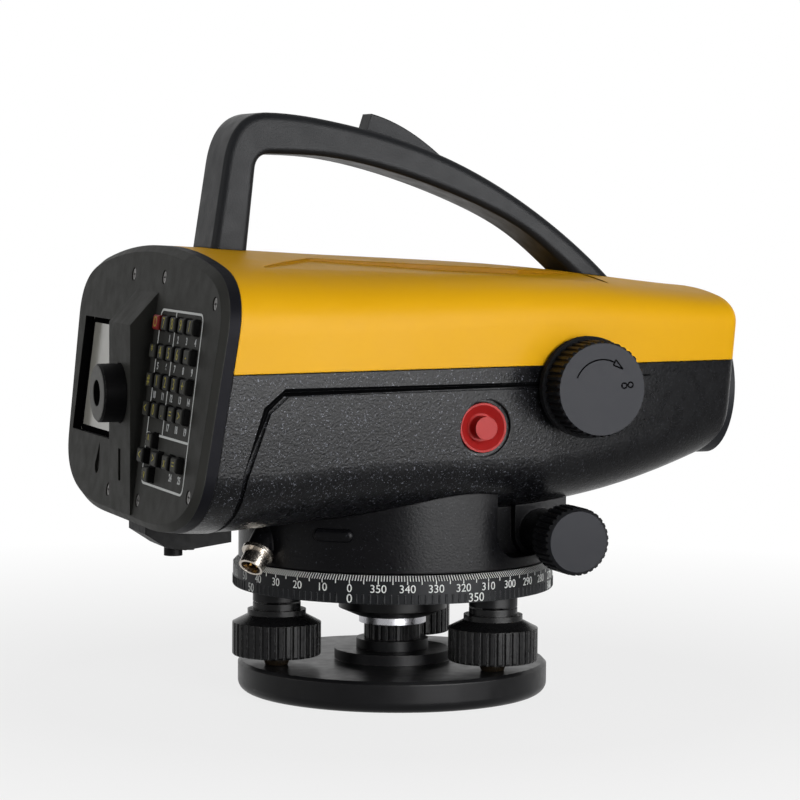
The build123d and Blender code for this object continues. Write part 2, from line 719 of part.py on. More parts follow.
def make_lower_housing():
    floor_y = BUTTON_RIM_Y + BUTTON_THICK + BUTTON_TRAVEL
    well = cyl_y(BUTTON_R + WELL_WALL, -FAR, floor_y + WELL_FLOOR, BUTTON_X, BUTTON_Z)
    housing = (skin & ahead & below) + (well & body)
    housing -= flank_cut
    bush = cyl_y(FOCUS_BUSH_R, focus_back_y + SLIDE_GAP, focus_back_y + FOCUS_BUSH_L, FOCUS_X, FOCUS_Z)
    saddles = [
        block(about(x, SADDLE_T / 2), about(0, SADDLE_HALF), (0, SIGHT_Z)) for x in SADDLES
    ]
    tray = [
        block((x, x + TRAY_T), BATTERY_Y, (0, BATTERY_Z[0] - SEAT_GAP))
        for x in (BATTERY_X[0] + TRAY_T, BATTERY_X[1] - 2 * TRAY_T)
    ]
    inside = envelope(WALL - FUSE)
    housing += [piece & inside for piece in saddles + tray]
    housing += bush
    housing -= cyl_x(TUBE_R + SEAT_GAP, TUBE_REAR - FAR, TUBE_FRONT, 0, SIGHT_Z) & hollow
    housing -= cyl_x(CELL_R + SLIDE_GAP, CELL_REAR - OVERCUT, FAR, 0, SIGHT_Z)
    housing -= cyl_y(BUTTON_R + SLIDE_GAP, -FAR, floor_y, BUTTON_X, BUTTON_Z)
    housing -= cyl_y(WELL_MOUTH_R, -FAR, BUTTON_RIM_Y + WELL_MOUTH_L, BUTTON_X, BUTTON_Z)
    housing -= cyl_y(FOCUS_SHAFT_R + RUN_GAP, -FAR, 0, FOCUS_X, FOCUS_Z)
    housing -= door_opening()
    housing += [door_ear(side) for side in (-1, 1)]
    return housing - door_bead(DOOR_PIN_R + RUN_GAP, DOOR_LENGTH)


def crest_z(x):
    """Height of the casing's crest, between its stations."""
    index = next(i for i in range(1, len(STATIONS)) if x <= STATIONS[i])
    share = (x - STATIONS[index - 1]) / (STATIONS[index] - STATIONS[index - 1])
    return CREST_Z[index - 1] + (CREST_Z[index] - CREST_Z[index - 1]) * share


def shelf_section(x, strip, depth):
    """Cut beside the raised strip at one place: from the shoulder's edge to the strip's foot."""
    top = crest_z(x)
    crown = station_value(x, CROWN_REAR, CROWN_FRONT)
    edge = station_value(x, HALF_REAR, HALF_FRONT) - station_value(x, SHOULDER_W_REAR, SHOULDER_W_FRONT)
    foot = top - crown * (strip / edge) ** 2 - depth
    clear = top + SHELF_CLEAR
    places = ((-edge, top - crown), (-strip, foot), (-strip, clear), (-edge, clear))
    return Wire.make_polygon([(x, y, z) for y, z in places])


def make_upper_cover():
    cover = skin & ahead & above
    shelf = Solid.make_loft([shelf_section(*place) for place in SHELF], ruled=True)
    cover -= [shelf, mirror(shelf, Plane.XZ)]
    cover -= cyl_y(FOCUS_BUSH_R + SEAM, -FAR, 0, FOCUS_X, FOCUS_Z)
    return cover - cyl_x(CELL_R + SLIDE_GAP, CELL_REAR - OVERCUT, FAR, 0, SIGHT_Z)


# Rear panel with the upright rib, display opening and key holes
def face_x(z):
    return FACE_X + (z - SIGHT_Z) * tan(radians(FACE_LEAN))


def make_rib():
    inner = FACE_T / 2
    places = (
        (RIB_X, RIB_FOOT_Z), (RIB_X, RIB_SLOPE_Z), (face_x(RIB_TOP_Z), RIB_TOP_Z),
        (face_x(RIB_TOP_Z) + inner, RIB_TOP_Z), (face_x(RIB_FOOT_Z) + inner, RIB_FOOT_Z),
    )
    outline = Polyline(*[(x, -RIB_HALF, z) for x, z in places], close=True)
    return extrude(make_face(outline), 2 * RIB_HALF, dir=(0, 1, 0))


def key_places():
    """Name and place of each key in the plane of the face."""
    places = []
    for row in range(KEY_ROWS):
        for column in range(KEY_COLUMNS):
            name = "key_power" if (row, column) == (0, 0) else f"key_row{row + 1}_col{column + 1}"
            places.append((name, KEY_FIRST_S + column * KEY_PITCH_S, KEY_FIRST_T - row * KEY_PITCH_T))
    pad_s = KEY_FIRST_S + PAD_STEP_S
    last_s = KEY_FIRST_S + (KEY_COLUMNS - 1) * KEY_PITCH_S
    places.append(("key_up", pad_s, PAD_ROW_T + PAD_STEP_T))
    places.append(("key_left", pad_s - PAD_STEP_S, PAD_ROW_T))
    places.append(("key_right", pad_s + PAD_STEP_S, PAD_ROW_T))
    places.append(("key_down", pad_s, PAD_ROW_T - PAD_STEP_T))
    places.append(("key_cancel", last_s - KEY_PITCH_S, PAD_ROW_T))
    places.append(("key_enter", last_s, PAD_ROW_T))
    return places


keys = key_places()
flange_depth = FACE_T + SEAT_GAP
board_depth = flange_depth + KEY_FLANGE_T + KEY_TRAVEL + BOARD_GAP


def make_key(s, t):
    cap = face_block(about(s, KEY_W / 2), about(t, KEY_H / 2), -KEY_PROUD, flange_depth)
    cap = chamfer(cap.faces().sort_by(Axis((0, 0, SIGHT_Z), face_plane.z_dir))[-1].edges(), KEY_EDGE)
    flange_s = about(s, KEY_W / 2 + KEY_FLANGE)
    flange_t = about(t, KEY_H / 2 + KEY_FLANGE)
    return cap + face_block(flange_s, flange_t, flange_depth, flange_depth + KEY_FLANGE_T)


def key_hole(s, t):
    half_s = KEY_W / 2 + SLIDE_GAP
    half_t = KEY_H / 2 + SLIDE_GAP
    return face_block(about(s, half_s), about(t, half_t), -OVERCUT, FACE_T + OVERCUT)


def drop_mark():
    round_end = face_pin(DROP_R, DROP_S, DROP_T, -OVERCUT, MARK_DEPTH)
    point = face_plane * Pos(DROP_S, DROP_T, -MARK_DEPTH) * extrude(
        make_face(Polyline((-DROP_R, 0), (DROP_R, 0), (0, DROP_H), close=True)), MARK_DEPTH + OVERCUT
    )
    return round_end + point


def make_rear_panel():
    panel = body & face_slab(0, PANEL_DEPTH)
    rim = panel.faces().sort_by(Axis((0, 0, SIGHT_Z), face_plane.z_dir))[-1]
    panel = chamfer(rim.edges(), PANEL_EDGE)
    panel -= hollow & face_slab(FACE_T, FAR)
    panel += make_rib()
    posts = [
        face_pin(POST_R, s, t, FACE_T / 2, board_depth - SEAT_GAP)
        for s in (BOARD_S[0] + POST_INSET, BOARD_S[1] - POST_INSET)
        for t in (BOARD_T[0] + POST_INSET, BOARD_T[1] - POST_INSET)
    ]
    panel += posts
    panel -= face_block(lcd_s, LCD_T, -OVERCUT, FACE_T + OVERCUT)
    panel -= [key_hole(s, t) for _, s, t in keys]
    panel -= cyl_x(EYE_R + SLIDE_GAP, -FAR, 0, 0, SIGHT_Z)
    for s, t in SCREW_PLACES:
        panel -= face_pin(SCREW_HEAD_R + SLIDE_GAP, s, t, -OVERCUT, SCREW_SINK + SCREW_HEAD_T)
        panel -= face_pin(SCREW_SHANK_R + SEAT_GAP, s, t, 0, PANEL_DEPTH + OVERCUT)
    panel -= drop_mark()
    upright = about(SIGHT_Z + SLOT_T, SLOT_L / 2)
    slot = block((RIB_X - OVERCUT, RIB_X + MARK_DEPTH), about(0, SLOT_W / 2), upright)
    return panel - slot


def make_panel_screw(s, t):
    screw = face_pin(SCREW_HEAD_R, s, t, SCREW_SINK, SCREW_SINK + SCREW_HEAD_T - SEAT_GAP)
    screw += face_pin(SCREW_SHANK_R, s, t, SCREW_SINK, SCREW_SINK + SCREW_LENGTH)
    for width, height in ((SCREW_SLOT_W, SCREW_HEAD_R), (SCREW_HEAD_R, SCREW_SLOT_W)):
        recess = face_block(about(s, width), about(t, height), 0, SCREW_SINK + SCREW_CROSS_DEPTH)
        screw -= recess & face_pin(SCREW_CROSS_R, s, t, 0, SCREW_SINK + SCREW_CROSS_DEPTH)
    return screw


def make_display():
    ss = (lcd_s[0] - LCD_LAP, lcd_s[1] + LCD_LAP)
    ts = (LCD_T[0] - LCD_LAP, LCD_T[1] + LCD_LAP)
    return face_block(ss, ts, FACE_T + SEAT_GAP, FACE_T + LCD_DEPTH)


def make_main_board():
    return face_block(BOARD_S, BOARD_T, board_depth, board_depth + BOARD_THICK)


# Telescope
def make_telescope_tube():
    tube = cyl_x(TUBE_R, TUBE_REAR, TUBE_FRONT, 0, SIGHT_Z)
    tube -= cyl_x(tube_bore_r, TUBE_REAR + TUBE_END_WALL, TUBE_FRONT + OVERCUT, 0, SIGHT_Z)
    neck_end = EYE_END_X + EYE_END_WALL + SLIDE_GAP
    tube += cyl_x(NECK_R, neck_end, TUBE_REAR, 0, SIGHT_Z)
    lugs = [
        block(
            about(SWING_X, LUG_HALF),
            sorted((side * (SWING_PIN_HALF - LUG_T), side * (SWING_PIN_HALF + SLIDE_GAP))),
            (SWING_Z - LUG_BELOW, SIGHT_Z + TUBE_R),
        )
        for side in (-1, 1)
    ]
    inside = cyl_x((TUBE_R + tube_bore_r) / 2, TUBE_REAR, TUBE_FRONT, 0, SIGHT_Z)
    tube += [lug & inside for lug in lugs]
    tube -= cyl_x(NECK_BORE_R, -FAR, TUBE_REAR + TUBE_END_WALL + OVERCUT, 0, SIGHT_Z)
    tube -= cyl_y(SWING_PIN_R + RUN_GAP, *about(0, SWING_PIN_HALF + SLIDE_GAP), SWING_X, SWING_Z)
    tube -= cyl_y(PINION_R + SLIDE_GAP, -FAR, 0, FOCUS_X, FOCUS_Z)
    tube_top = SIGHT_Z + TUBE_R
    window = (SIGHT_Z, tube_top + OVERCUT)
    return tube - block(about(SENSOR_X, SLOT_HALF_X), about(0, SLOT_HALF_Y), window)


def make_objective_cell():
    cell = cyl_x(CELL_R, CELL_REAR, CELL_FRONT, 0, SIGHT_Z)
    cell -= cyl_x(TUBE_R + SEAT_GAP, CELL_REAR - OVERCUT, TUBE_FRONT + SEAT_GAP, 0, SIGHT_Z)
    cell -= cyl_x(CELL_BORE_R, CELL_REAR - OVERCUT, CELL_FRONT, 0, SIGHT_Z)
    cell -= cyl_x(LENS_R + SEAT_GAP, lens_x, CELL_FRONT + OVERCUT, 0, SIGHT_Z)
    return cell - cyl_x(CELL_MOUTH_R, CELL_FRONT - CELL_MOUTH_L, CELL_FRONT + OVERCUT, 0, SIGHT_Z)


lens_x = CELL_FRONT - CELL_MOUTH_L - LENS_BULGE - LENS_EDGE


def lens(x, r, edge, bulge):
    """Lens on the line of sight, flat at the rear and bulging forwards."""
    rim = x + edge
    radius = (r * r + bulge * bulge) / (2 * bulge)
    sag = radius - (radius * radius - r * r / 4) ** 0.5
    centre = (x, 0, SIGHT_Z)
    top = (x, 0, SIGHT_Z + r)
    edge_end = (rim, 0, SIGHT_Z + r)
    tip = (rim + bulge, 0, SIGHT_Z)
    curve = ThreePointArc(edge_end, (rim + bulge - sag, 0, SIGHT_Z + r / 2), tip)
    outline = Wire([Line(centre, top), Line(top, edge_end), curve, Line(tip, centre)])
    return revolve(Face(outline), Axis((0, 0, SIGHT_Z), (1, 0, 0)))


# Focusing: knob, shaft and pinion, with a rack on the sliding cell
focus_back_y = FOCUS_FACE_Y + FOCUS_KNOB_L
rack_top = FOCUS_Z - PINION_R - SLIDE_GAP


def make_focus_knob():
    knob = Cylinder(FOCUS_KNOB_R, FOCUS_KNOB_L, align=UPRIGHT)
    knob = chamfer(knob.edges().sort_by(Axis.Z)[-1], FOCUS_EDGE)
    knob = fluted(knob, FOCUS_RIBS, FOCUS_KNOB_R, FOCUS_RIB_R, FOCUS_KNOB_L)
    knob += Cylinder(FOCUS_RIM_R, FOCUS_RIM_L, align=UPRIGHT)
    knob = Pos(FOCUS_X, focus_back_y, FOCUS_Z) * Rot(90, 0, 0) * knob
    knob += cyl_y(FOCUS_SHAFT_R, focus_back_y, PINION_END_Y - PINION_L, FOCUS_X, FOCUS_Z)
    return knob + cyl_y(PINION_R, PINION_END_Y - PINION_L, PINION_END_Y, FOCUS_X, FOCUS_Z)


def make_focus_cell():
    end = SLIDER_X + SLIDER_L
    cell = cyl_x(tube_bore_r - 2 * RUN_GAP, SLIDER_X, end, 0, SIGHT_Z)
    cell -= cyl_x(SLIDER_BORE_R - SLIDER_LIP, SLIDER_X - OVERCUT, end + OVERCUT, 0, SIGHT_Z)
    cell -= cyl_x(SLIDER_BORE_R, SLIDER_X + SLIDER_L / 2, end + OVERCUT, 0, SIGHT_Z)
    rack_y = PINION_END_Y - PINION_L / 2
    bar = block((end - FUSE, end + RACK_L), about(rack_y, RACK_W / 2), (rack_top - RACK_H, rack_top))
    return cell + bar


def make_focus_lens():
    return lens(SLIDER_X + SLIDER_L / 2 + SEAT_GAP, SLIDER_BORE_R - SEAT_GAP, FOCUS_LENS_EDGE, LENS_BULGE)


def make_pendulum():
    top = SWING_Z - SWING_PIN_R
    across = about(0, PRISM_HALF_Y)
    prism = block(about(SWING_X, PRISM_HALF_X), across, (top - PRISM_H, top))
    prism += block(about(SWING_X, PRISM_HALF_X / 2), across, (top - FUSE, SWING_Z + SWING_PIN_R))
    return prism + cyl_y(SWING_PIN_R, -SWING_PIN_HALF, SWING_PIN_HALF, SWING_X, SWING_Z)


def make_image_sensor():
    z = SIGHT_Z + TUBE_R + SEAT_GAP
    board = block(about(SENSOR_X, SENSOR_HALF_X), about(0, SENSOR_HALF_Y), (z, z + SENSOR_T))
    chip_x = about(SENSOR_X, SLOT_HALF_X - SLIDE_GAP)
    return board + block(chip_x, about(0, SLOT_HALF_Y - SLIDE_GAP), (z - SENSOR_T, z))


def make_eyepiece_ring():
    ring = cyl_x(EYE_R, EYE_END_X, EYE_FOOT_X, 0, SIGHT_Z)
    ring = chamfer(ring.edges().sort_by(Axis.X)[0], EYE_EDGE)
    ring -= cyl_x(NECK_R + RUN_GAP, EYE_END_X + EYE_END_WALL, 0, 0, SIGHT_Z)
    return ring - cyl_x(EYE_HOLE_R, -FAR, 0, 0, SIGHT_Z)


def make_eyepiece_lens():
    x = EYE_END_X + EYE_END_WALL + 2 * SLIDE_GAP
    return lens(x, NECK_BORE_R - SEAT_GAP, EYE_LENS_L / 2, EYE_LENS_L / 2)


def make_measure_button():
    """Dished button with a small cap rising from the middle of the dish."""
    button = Cylinder(BUTTON_R, BUTTON_THICK, align=UPRIGHT)
    bowl = Cone(BUTTON_BOWL_R, BUTTON_R - BUTTON_RIM, BUTTON_BOWL, align=UPRIGHT)
    button -= Pos(0, 0, BUTTON_THICK - BUTTON_BOWL) * bowl
    button += Cylinder(BUTTON_CAP_R, BUTTON_THICK + BUTTON_CAP_H, align=UPRIGHT)
    return Pos(BUTTON_X, BUTTON_RIM_Y + BUTTON_THICK, BUTTON_Z) * Rot(90, 0, 0) * button


# Handle with its notch sight, standing on the cover
def handle_outline():
    def point(place):
        return (place[0], -HANDLE_HALF, place[1])

    def points(places):
        return [point(place) for place in places]

    lean = radians(ARCH_FOOT_LEAN)
    rear = Line(point((LEG_REAR_FOOT_X, HANDLE_FOOT_Z)), point(LEG_REAR_TOP))
    top = Bezier(rear @ 1, *points(TOP_CORNER))
    outer_foot = point((ARCH_OUTER_FOOT_X, HANDLE_FOOT_Z))
    inner_foot = point((ARCH_OUTER_FOOT_X - ARCH_FOOT_WIDTH, HANDLE_FOOT_Z))
    outer = Spline(
        top @ 1, *points(ARCH_OUTER), outer_foot, tangents=(top % 1, (cos(lean), 0, -sin(lean)))
    )
    sole = Line(outer_foot, inner_foot)
    inner = Spline(
        inner_foot, *points(ARCH_INNER), point(GAP_CORNER[0]),
        tangents=((-cos(lean), 0, sin(lean)), (-1, 0, 0)),
    )
    corner = Bezier(*points(GAP_CORNER))
    front = Line(corner @ 1, point((LEG_FRONT_FOOT_X, HANDLE_FOOT_Z)))
    return Wire([rear, top, outer, sole, inner, corner, front, Line(front @ 1, rear @ 0)])


def make_handle():
    grip = extrude(Face(handle_outline()), 2 * HANDLE_HALF, dir=(0, 1, 0))
    edges = grip.faces().filter_by(Axis.Y).edges()
    grip = fillet([edge for edge in edges if edge.center().Z > HANDLE_FOOT_Z + OVERCUT], HANDLE_EDGE)
    places = [(x, -SIGHT_HALF, z) for x, z in (SIGHT_REAR, SIGHT_PEAK, *SIGHT_SLOPE, SIGHT_FRONT)]
    fin = Wire([Line(places[0], places[1]), Spline(*places[1:]), Line(places[-1], places[0])])
    grip += extrude(Face(fin), 2 * SIGHT_HALF, dir=(0, 1, 0))
    return grip - seat_body


def make_level_holder():
    upper = [(LEVEL_OUTLINE[-1][0], SIGHT_Z), (LEVEL_OUTLINE[0][0], SIGHT_Z)]
    outline = Polyline(*[(x, LEVEL_Y[0], z) for x, z in (*LEVEL_OUTLINE, *upper)], close=True)
    holder = extrude(make_face(outline), LEVEL_Y[1] - LEVEL_Y[0], dir=(0, 1, 0))
    holder -= seat_body
    holder = holder.solids().sort_by(Axis.Z)[0]
    holder += cyl_z(LEVEL_CAP_R, LEVEL_CAP_Z, LEVEL_OUTLINE[0][1], *LEVEL_CAP_PLACE)
    return holder + cyl_z(LEVEL_SCREW_R, LEVEL_SCREW_Z, LEVEL_OUTLINE[0][1], *LEVEL_SCREW_PLACE)


def main():
    save("base_plate", make_base_plate())
    save("guide_pin", make_guide_pin())
    foot_screw = make_foot_screw()
    for number, place in enumerate(foot_places, 1):
        save(f"foot_screw_{number}", place * foot_screw)
    save("levelling_head", make_levelling_head())
    save("axis_spindle", make_axis_spindle())
    save("circle_ring", make_circle_ring())
    save("alidade_base", make_alidade_base())
    save("worm_wheel", make_worm_wheel())
    save("drive_shaft", make_drive_shaft())
    save("drive_knobs", Compound(children=[make_drive_knob(side) for side in (-1, 1)]))
    save("data_socket", make_data_socket())
    save("lower_housing", make_lower_housing())
    save("upper_cover", make_upper_cover())
    save("rear_panel", make_rear_panel())
    save("panel_screws", Compound(children=[make_panel_screw(s, t) for s, t in SCREW_PLACES]))
    save("display", make_display())
    save("main_board", make_main_board())
    save("handle", make_handle())
    save("telescope_tube", make_telescope_tube())
    save("objective_cell", make_objective_cell())
    save("objective_lens", lens(lens_x + SEAT_GAP, LENS_R, LENS_EDGE, LENS_BULGE))
    save("focus_knob", make_focus_knob())
    save("focus_cell", make_focus_cell())
    save("focus_lens", make_focus_lens())
    save("compensator_pendulum", make_pendulum())
    save("image_sensor", make_image_sensor())
    save("eyepiece_ring", make_eyepiece_ring())
    save("eyepiece_lens", make_eyepiece_lens())
    save("measure_button", make_measure_button())
    save("battery", block(BATTERY_X, BATTERY_Y, BATTERY_Z))
    save("battery_door", make_battery_door())
    save("level_holder", make_level_holder())
    for name, s, t in keys:
        save(name, make_key(s, t))


main()
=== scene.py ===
"""Looks of the digital surveying level: finishes, printed marks, light, floor and camera."""
from math import cos, pi, radians, sin

import bmesh
import bpy
from mathutils import Matrix, Vector


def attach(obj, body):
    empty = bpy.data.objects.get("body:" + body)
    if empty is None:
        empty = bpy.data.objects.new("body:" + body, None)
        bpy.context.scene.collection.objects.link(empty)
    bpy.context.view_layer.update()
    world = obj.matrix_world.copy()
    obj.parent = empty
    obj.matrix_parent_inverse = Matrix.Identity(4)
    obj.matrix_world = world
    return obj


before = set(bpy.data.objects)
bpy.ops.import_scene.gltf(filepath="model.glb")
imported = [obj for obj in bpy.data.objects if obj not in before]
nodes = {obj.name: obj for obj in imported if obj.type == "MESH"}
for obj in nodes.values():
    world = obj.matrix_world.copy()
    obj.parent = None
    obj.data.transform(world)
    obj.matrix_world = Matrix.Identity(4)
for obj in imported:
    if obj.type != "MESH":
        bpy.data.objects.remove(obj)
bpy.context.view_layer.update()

# Frame as in the solids: origin on the vertical axis at the underside of the base plate, X along
# the line of sight, Z up. Sizes are in millimetres and degrees unless a comment says otherwise.
MM = 0.001
PRINT_H = 0.05       # thickness of a printed mark
GLYPH_SHARE = 0.69   # height of a digit as a share of the size of its type
ARC_STEPS = 24       # pieces of a round line
CORNER_STEPS = 6     # pieces of a rounded corner

# Surfaces
WHITE = (1, 1, 1, 1)
LOW_GLOSS = 0.05             # mirror reflection of matt paint and plastic
PLAIN_GLOSS = 0.5            # and of metal and glass
EDGE_R = 0.3                 # rounding of edges
CLOUD_RANGE = (0.3, 0.7)     # most values of a cloud pattern lie between these
ROUGH_FINENESS = 4           # how much finer the roughness varies than the colour
EDGE_RANGE = (0.98, 0.85)    # likeness of sharp and rounded surface, away from and at an edge
WORN_PATCHES = 0.6           # worn patches to the millimetre
WORN_RANGE = (0.45, 0.65)    # cloud values at which wear begins and is complete

# Rear panel: from the line of sight, S runs to the right seen from behind and T up the leaning face
FACE_X = -103.5
FACE_LEAN = 7.0
SIGHT_Z = 117.0
PANEL_EDGE = 2.7     # behind the face, where the painted shade on the panel's side begins
KEY_FIRST_S = 25.6
KEY_PITCH_S = 11.0
KEY_FIRST_T = 27.4
KEY_PITCH_T = 10.6
KEY_PROUD = 3.0
KEY_SKIN = 0.3       # depth of the painted highlight on a key's top
KEY_GLYPHS = ("O789/", "*456-", "#123+", "<0.=>")
KEY_GLYPH_H = 3.8
PAD_ROW_T = -21.6
PAD_STEP_T = 6.2
PAD_STEP_S = 9.2
PRINT_S = (22.0, 75.5)
PRINT_T = (-31.7, 32.3)
PRINT_CORNER = 3.0
PRINT_LINE = 0.85
DIVIDER_T = -13.3
COLUMN_LINE_S = 42.1
LABEL_H = 2.5
LABEL_BOLD = 0.12
LABEL_DROP = 5.4
BARE_KEYS = (        # keys without a number under them
    "key_power", "key_row4_col1", "key_row4_col2", "key_up", "key_left", "key_right", "key_down",
)
LCD_S = (-86.0, -23.0)
LCD_T = (-20.0, 25.5)
LCD_DEPTH = 3.6
LCD_BORDER = 2.2
LCD_CORNER = 1.0
LCD_MARGIN = 0.2     # reach of the painted shade on the opening's wall past its edges
LCD_GRID = 9.0       # fineness of the screen's grid, in radians to the millimetre
EYEPIECE_END = -118.3   # the worn end of the eyepiece begins here along the line of sight

# Graduated circle
RING_R = 62.0
RING_TOP_Z = 51.8
RING_BEVEL_Z = 49.8  # the bevel round the top begins here
RING_ZERO = -125.3   # direction of the zero mark, from the line of sight
TICK_W = 0.36
TICK_INSET = 0.1     # from the top edge
TICK_LENGTHS = ((10, 3.2), (5, 3.2), (1, 2.0))   # ticks at multiples of so many degrees
DEGREE_STEP = 10
DEGREE_Z = 46.8
DEGREE_H = 2.9
GONS = 400           # to a full turn
GON_STEP = 50
GON_Z = 43.0
GON_H = 3.2
GON_ROOM = 4.2       # free of ribs on both sides of a number
KNURL_RIBS = 150
KNURL_Z = (41.5, 44.8)
KNURL_R = 0.55
KNURL_SINK = 0.3

# Knobs
FOOT_KNOB_Z = 15.8            # underside of the levelling screws' knobs
FOCUS_X = 51.5
FOCUS_Z = 121.0
FOCUS_FACE_Y = -81.0
FOCUS_SKIN = 0.1              # depth of the greyer end face
DRIVE_FACE = 75.8             # from the middle to the greyer end faces of the drive knobs
KNOB_RIM = 11.3               # from the end face back to the rim
RIM_ROUGHNESS = 0.9
ARROW_R = 11.0
ARROW_SPAN = (157.0, 64.0)    # directions on the end face, of the line's start and the head's back
ARROW_TIP = 42.0              # and of the head's tip
ARROW_HALF = 1.1              # half width of the head
ENDLESS_PLACE = (10.1, 1.4)   # from the middle of the knob
ENDLESS_STEP = (1.28, 0.13)   # from the middle of the sign to the middle of each of its rings
ENDLESS_R = 1.0
ENGRAVED_LINE = 0.55

# Data socket, with heights above the floor of its mouth
SOCKET_ANGLE = 196.5          # direction from the line of sight
SOCKET_TURN = 20.0            # of its axis away from that direction
SOCKET_DIP = 48.0             # of its mouth below level
SOCKET_ORIGIN = (61.9, 59.6)  # distance from the vertical axis, and height
SOCKET_FLOOR = 5.1            # from the origin along its axis
INSERT_R = 3.7
INSERT_Z = (0.05, 0.8)
INSERT_ROUNDING = 0.25        # of the upper edge, as a share of the radius
PIN_COUNT = 5
PIN_CIRCLE_R = 2.2
PIN_R = 0.4
PIN_Z = (0.8, 3.2)
PIN_ROUNDING = 0.6
ROD_SIDES = 24
ROD_STEPS = 3                 # pieces of a rod's rounded edge

# Drum, housing and cover
FLECK_SHADE_RANGE = (10.0, 60.0)   # painted shade: the pale flecks thin out between these places, towards the objective
FLECK_SHARE = (0.75, 0.12)   # strength of the flecks at these places
DRUM_R = 60.0
BOSS_ANGLE = -132.0          # direction from the line of sight
BOSS_Z = 66.0
BOSS_HALF_W = 8.0
BOSS_HALF_H = 2.6
BOSS_PROUD = 2.2
BOSS_SINK = 0.4
BOSS_ROUND = 1.6
BOSS_STEPS = 5
BOSS_END = 0.05              # half of the straight part of the pad's ends
CROWN_HALF = 51.5            # half width of the cover's crown, which grows narrower to the front
CROWN_TAPER = 0.174          # loss of this half width to the millimetre
STRIP_SPAN = (-76.0, 74.0)   # ends of the raised strip along the line of sight
WALL_LEAN = 0.8              # parts of the crown that face up less than this are the strip's wall, which gets painted shade
OUTSIDE_Y = 200.0            # well outside the flanks
INDEX_PLACE = (82.4, 124.2)  # along the line of sight and up
INDEX_SIZE = (4.0, 0.6)
STEP_PATH = (                # edge of the flank's recess, with a band of painted shade for its step: X, Z, over, under
    (43.5, 122.4, 0.5, 1.0),
    (-74.0, 122.4, 1.3, 1.6),
    (-81.0, 116.5, 1.3, 1.6),
    (-89.0, 93.0, 0.2, 0.4),
)
STEP_CORNER = 0.06           # how near to the edge the band of painted shade turns over it
STEP_PIECES = 16             # between two corners of its path

# Camera, turned from the near flank to the rear, tilted down and rolled
CAMERA_TURN = 20.5
CAMERA_TILT = 4.0
CAMERA_ROLL = 0.48
CAMERA_DISTANCE = 1147.0
CAMERA_TARGET = (2.1, -0.8, 112.45)
CAMERA_LENS = 133.3
CAMERA_SENSOR = 36.0

# Studio, in metres and watts
AMBIENT = (0.1, 0.03)   # light of the surroundings from the sides and from above
AIM = (0.0, 0.0, 0.11)  # place that the lamps point at
LAMPS = (   # name, direction from the line of sight, distance, height, width and height, power
    ("key_light", -80.0, 1.3, 0.34, (0.8, 0.7), 14.8),
    ("sheen_light", -70.0, 0.33, 0.125, (0.32, 0.245), 4.0),
    ("fill_light", 178.0, 1.5, 0.38, (1.0, 1.0), 8.0),
    ("back_light", 80.0, 1.4, 0.35, (1.0, 0.6), 7.0),
    ("front_light", 12.0, 1.5, 0.35, (1.0, 0.6), 5.0),
)
SHEEN_ONLY = ("sheen_light",)   # lamps that show in glossy surfaces and light nothing else
MATT_ONLY = ("back_light", "front_light")   # lamps that don't show in glossy surfaces
FLOOR_HALF = 4.0
FLOOR_CELLS = 8
FLOOR_GREYS = (0.36, 0.4)
FLOOR_FADE = (0.14, 0.5)   # from the axis, where the floor begins to turn white and where it is
FLOOR_SEEN = 0.8           # share of plain white near the object

# Rear face: its origin and its directions to the right seen from behind, up and out
panel_origin = Vector((FACE_X, 0, SIGHT_Z))
panel_right = Vector((0, -1, 0))
panel_up = Vector((sin(radians(FACE_LEAN)), 0, cos(radians(FACE_LEAN))))
panel_out = panel_right.cross(panel_up)


def srgb(red, green, blue):
    """Linear colour from the usual 0 to 255 values."""
    def linear(value):
        share = value / 255
        return share / 12.92 if share <= 0.04045 else ((share + 0.055) / 1.055) ** 2.4
    return (linear(red), linear(green), linear(blue), 1.0)


class Graph:
    """Nodes of a material or of the surroundings, added and linked one by one."""

    def __init__(self, tree):
        self.tree = tree

    def add(self, kind, inputs=(), **settings):
        """Add a node with its settings and with what goes into its sockets."""
        node = self.tree.nodes.new("ShaderNode" + kind)
        for name, value in settings.items():
            setattr(node, name, value)
        for socket, value in dict(inputs).items():
            self.feed(node.inputs[socket], value)
        return node

    def feed(self, socket, value):
        """Link a socket to another one, or set its value."""
        if isinstance(value, bpy.types.NodeSocket):
            self.tree.links.new(value, socket)
        else:
            socket.default_value = value

    def math(self, operation, first, second=0.0):
        """Result of a sum, product or comparison."""
        return self.add("Math", {0: first, 1: second}, operation=operation).outputs[0]

    def span(self, value, low, high, to_low=0.0, to_high=1.0):
        """Stretch a value from one range to another, and stop at its ends."""
        inputs = {
            "Value": value, "From Min": low, "From Max": high, "To Min": to_low, "To Max": to_high,
        }
        return self.add("MapRange", inputs).outputs["Result"]

    def seen(self):
        """1 for what is seen straight on, in a mirror or through glass, else 0."""
        rays = self.add("LightPath").outputs
        direct = self.math("MAXIMUM", rays["Is Camera Ray"], rays["Is Glossy Ray"])
        return self.math("MAXIMUM", direct, rays["Is Transmission Ray"])


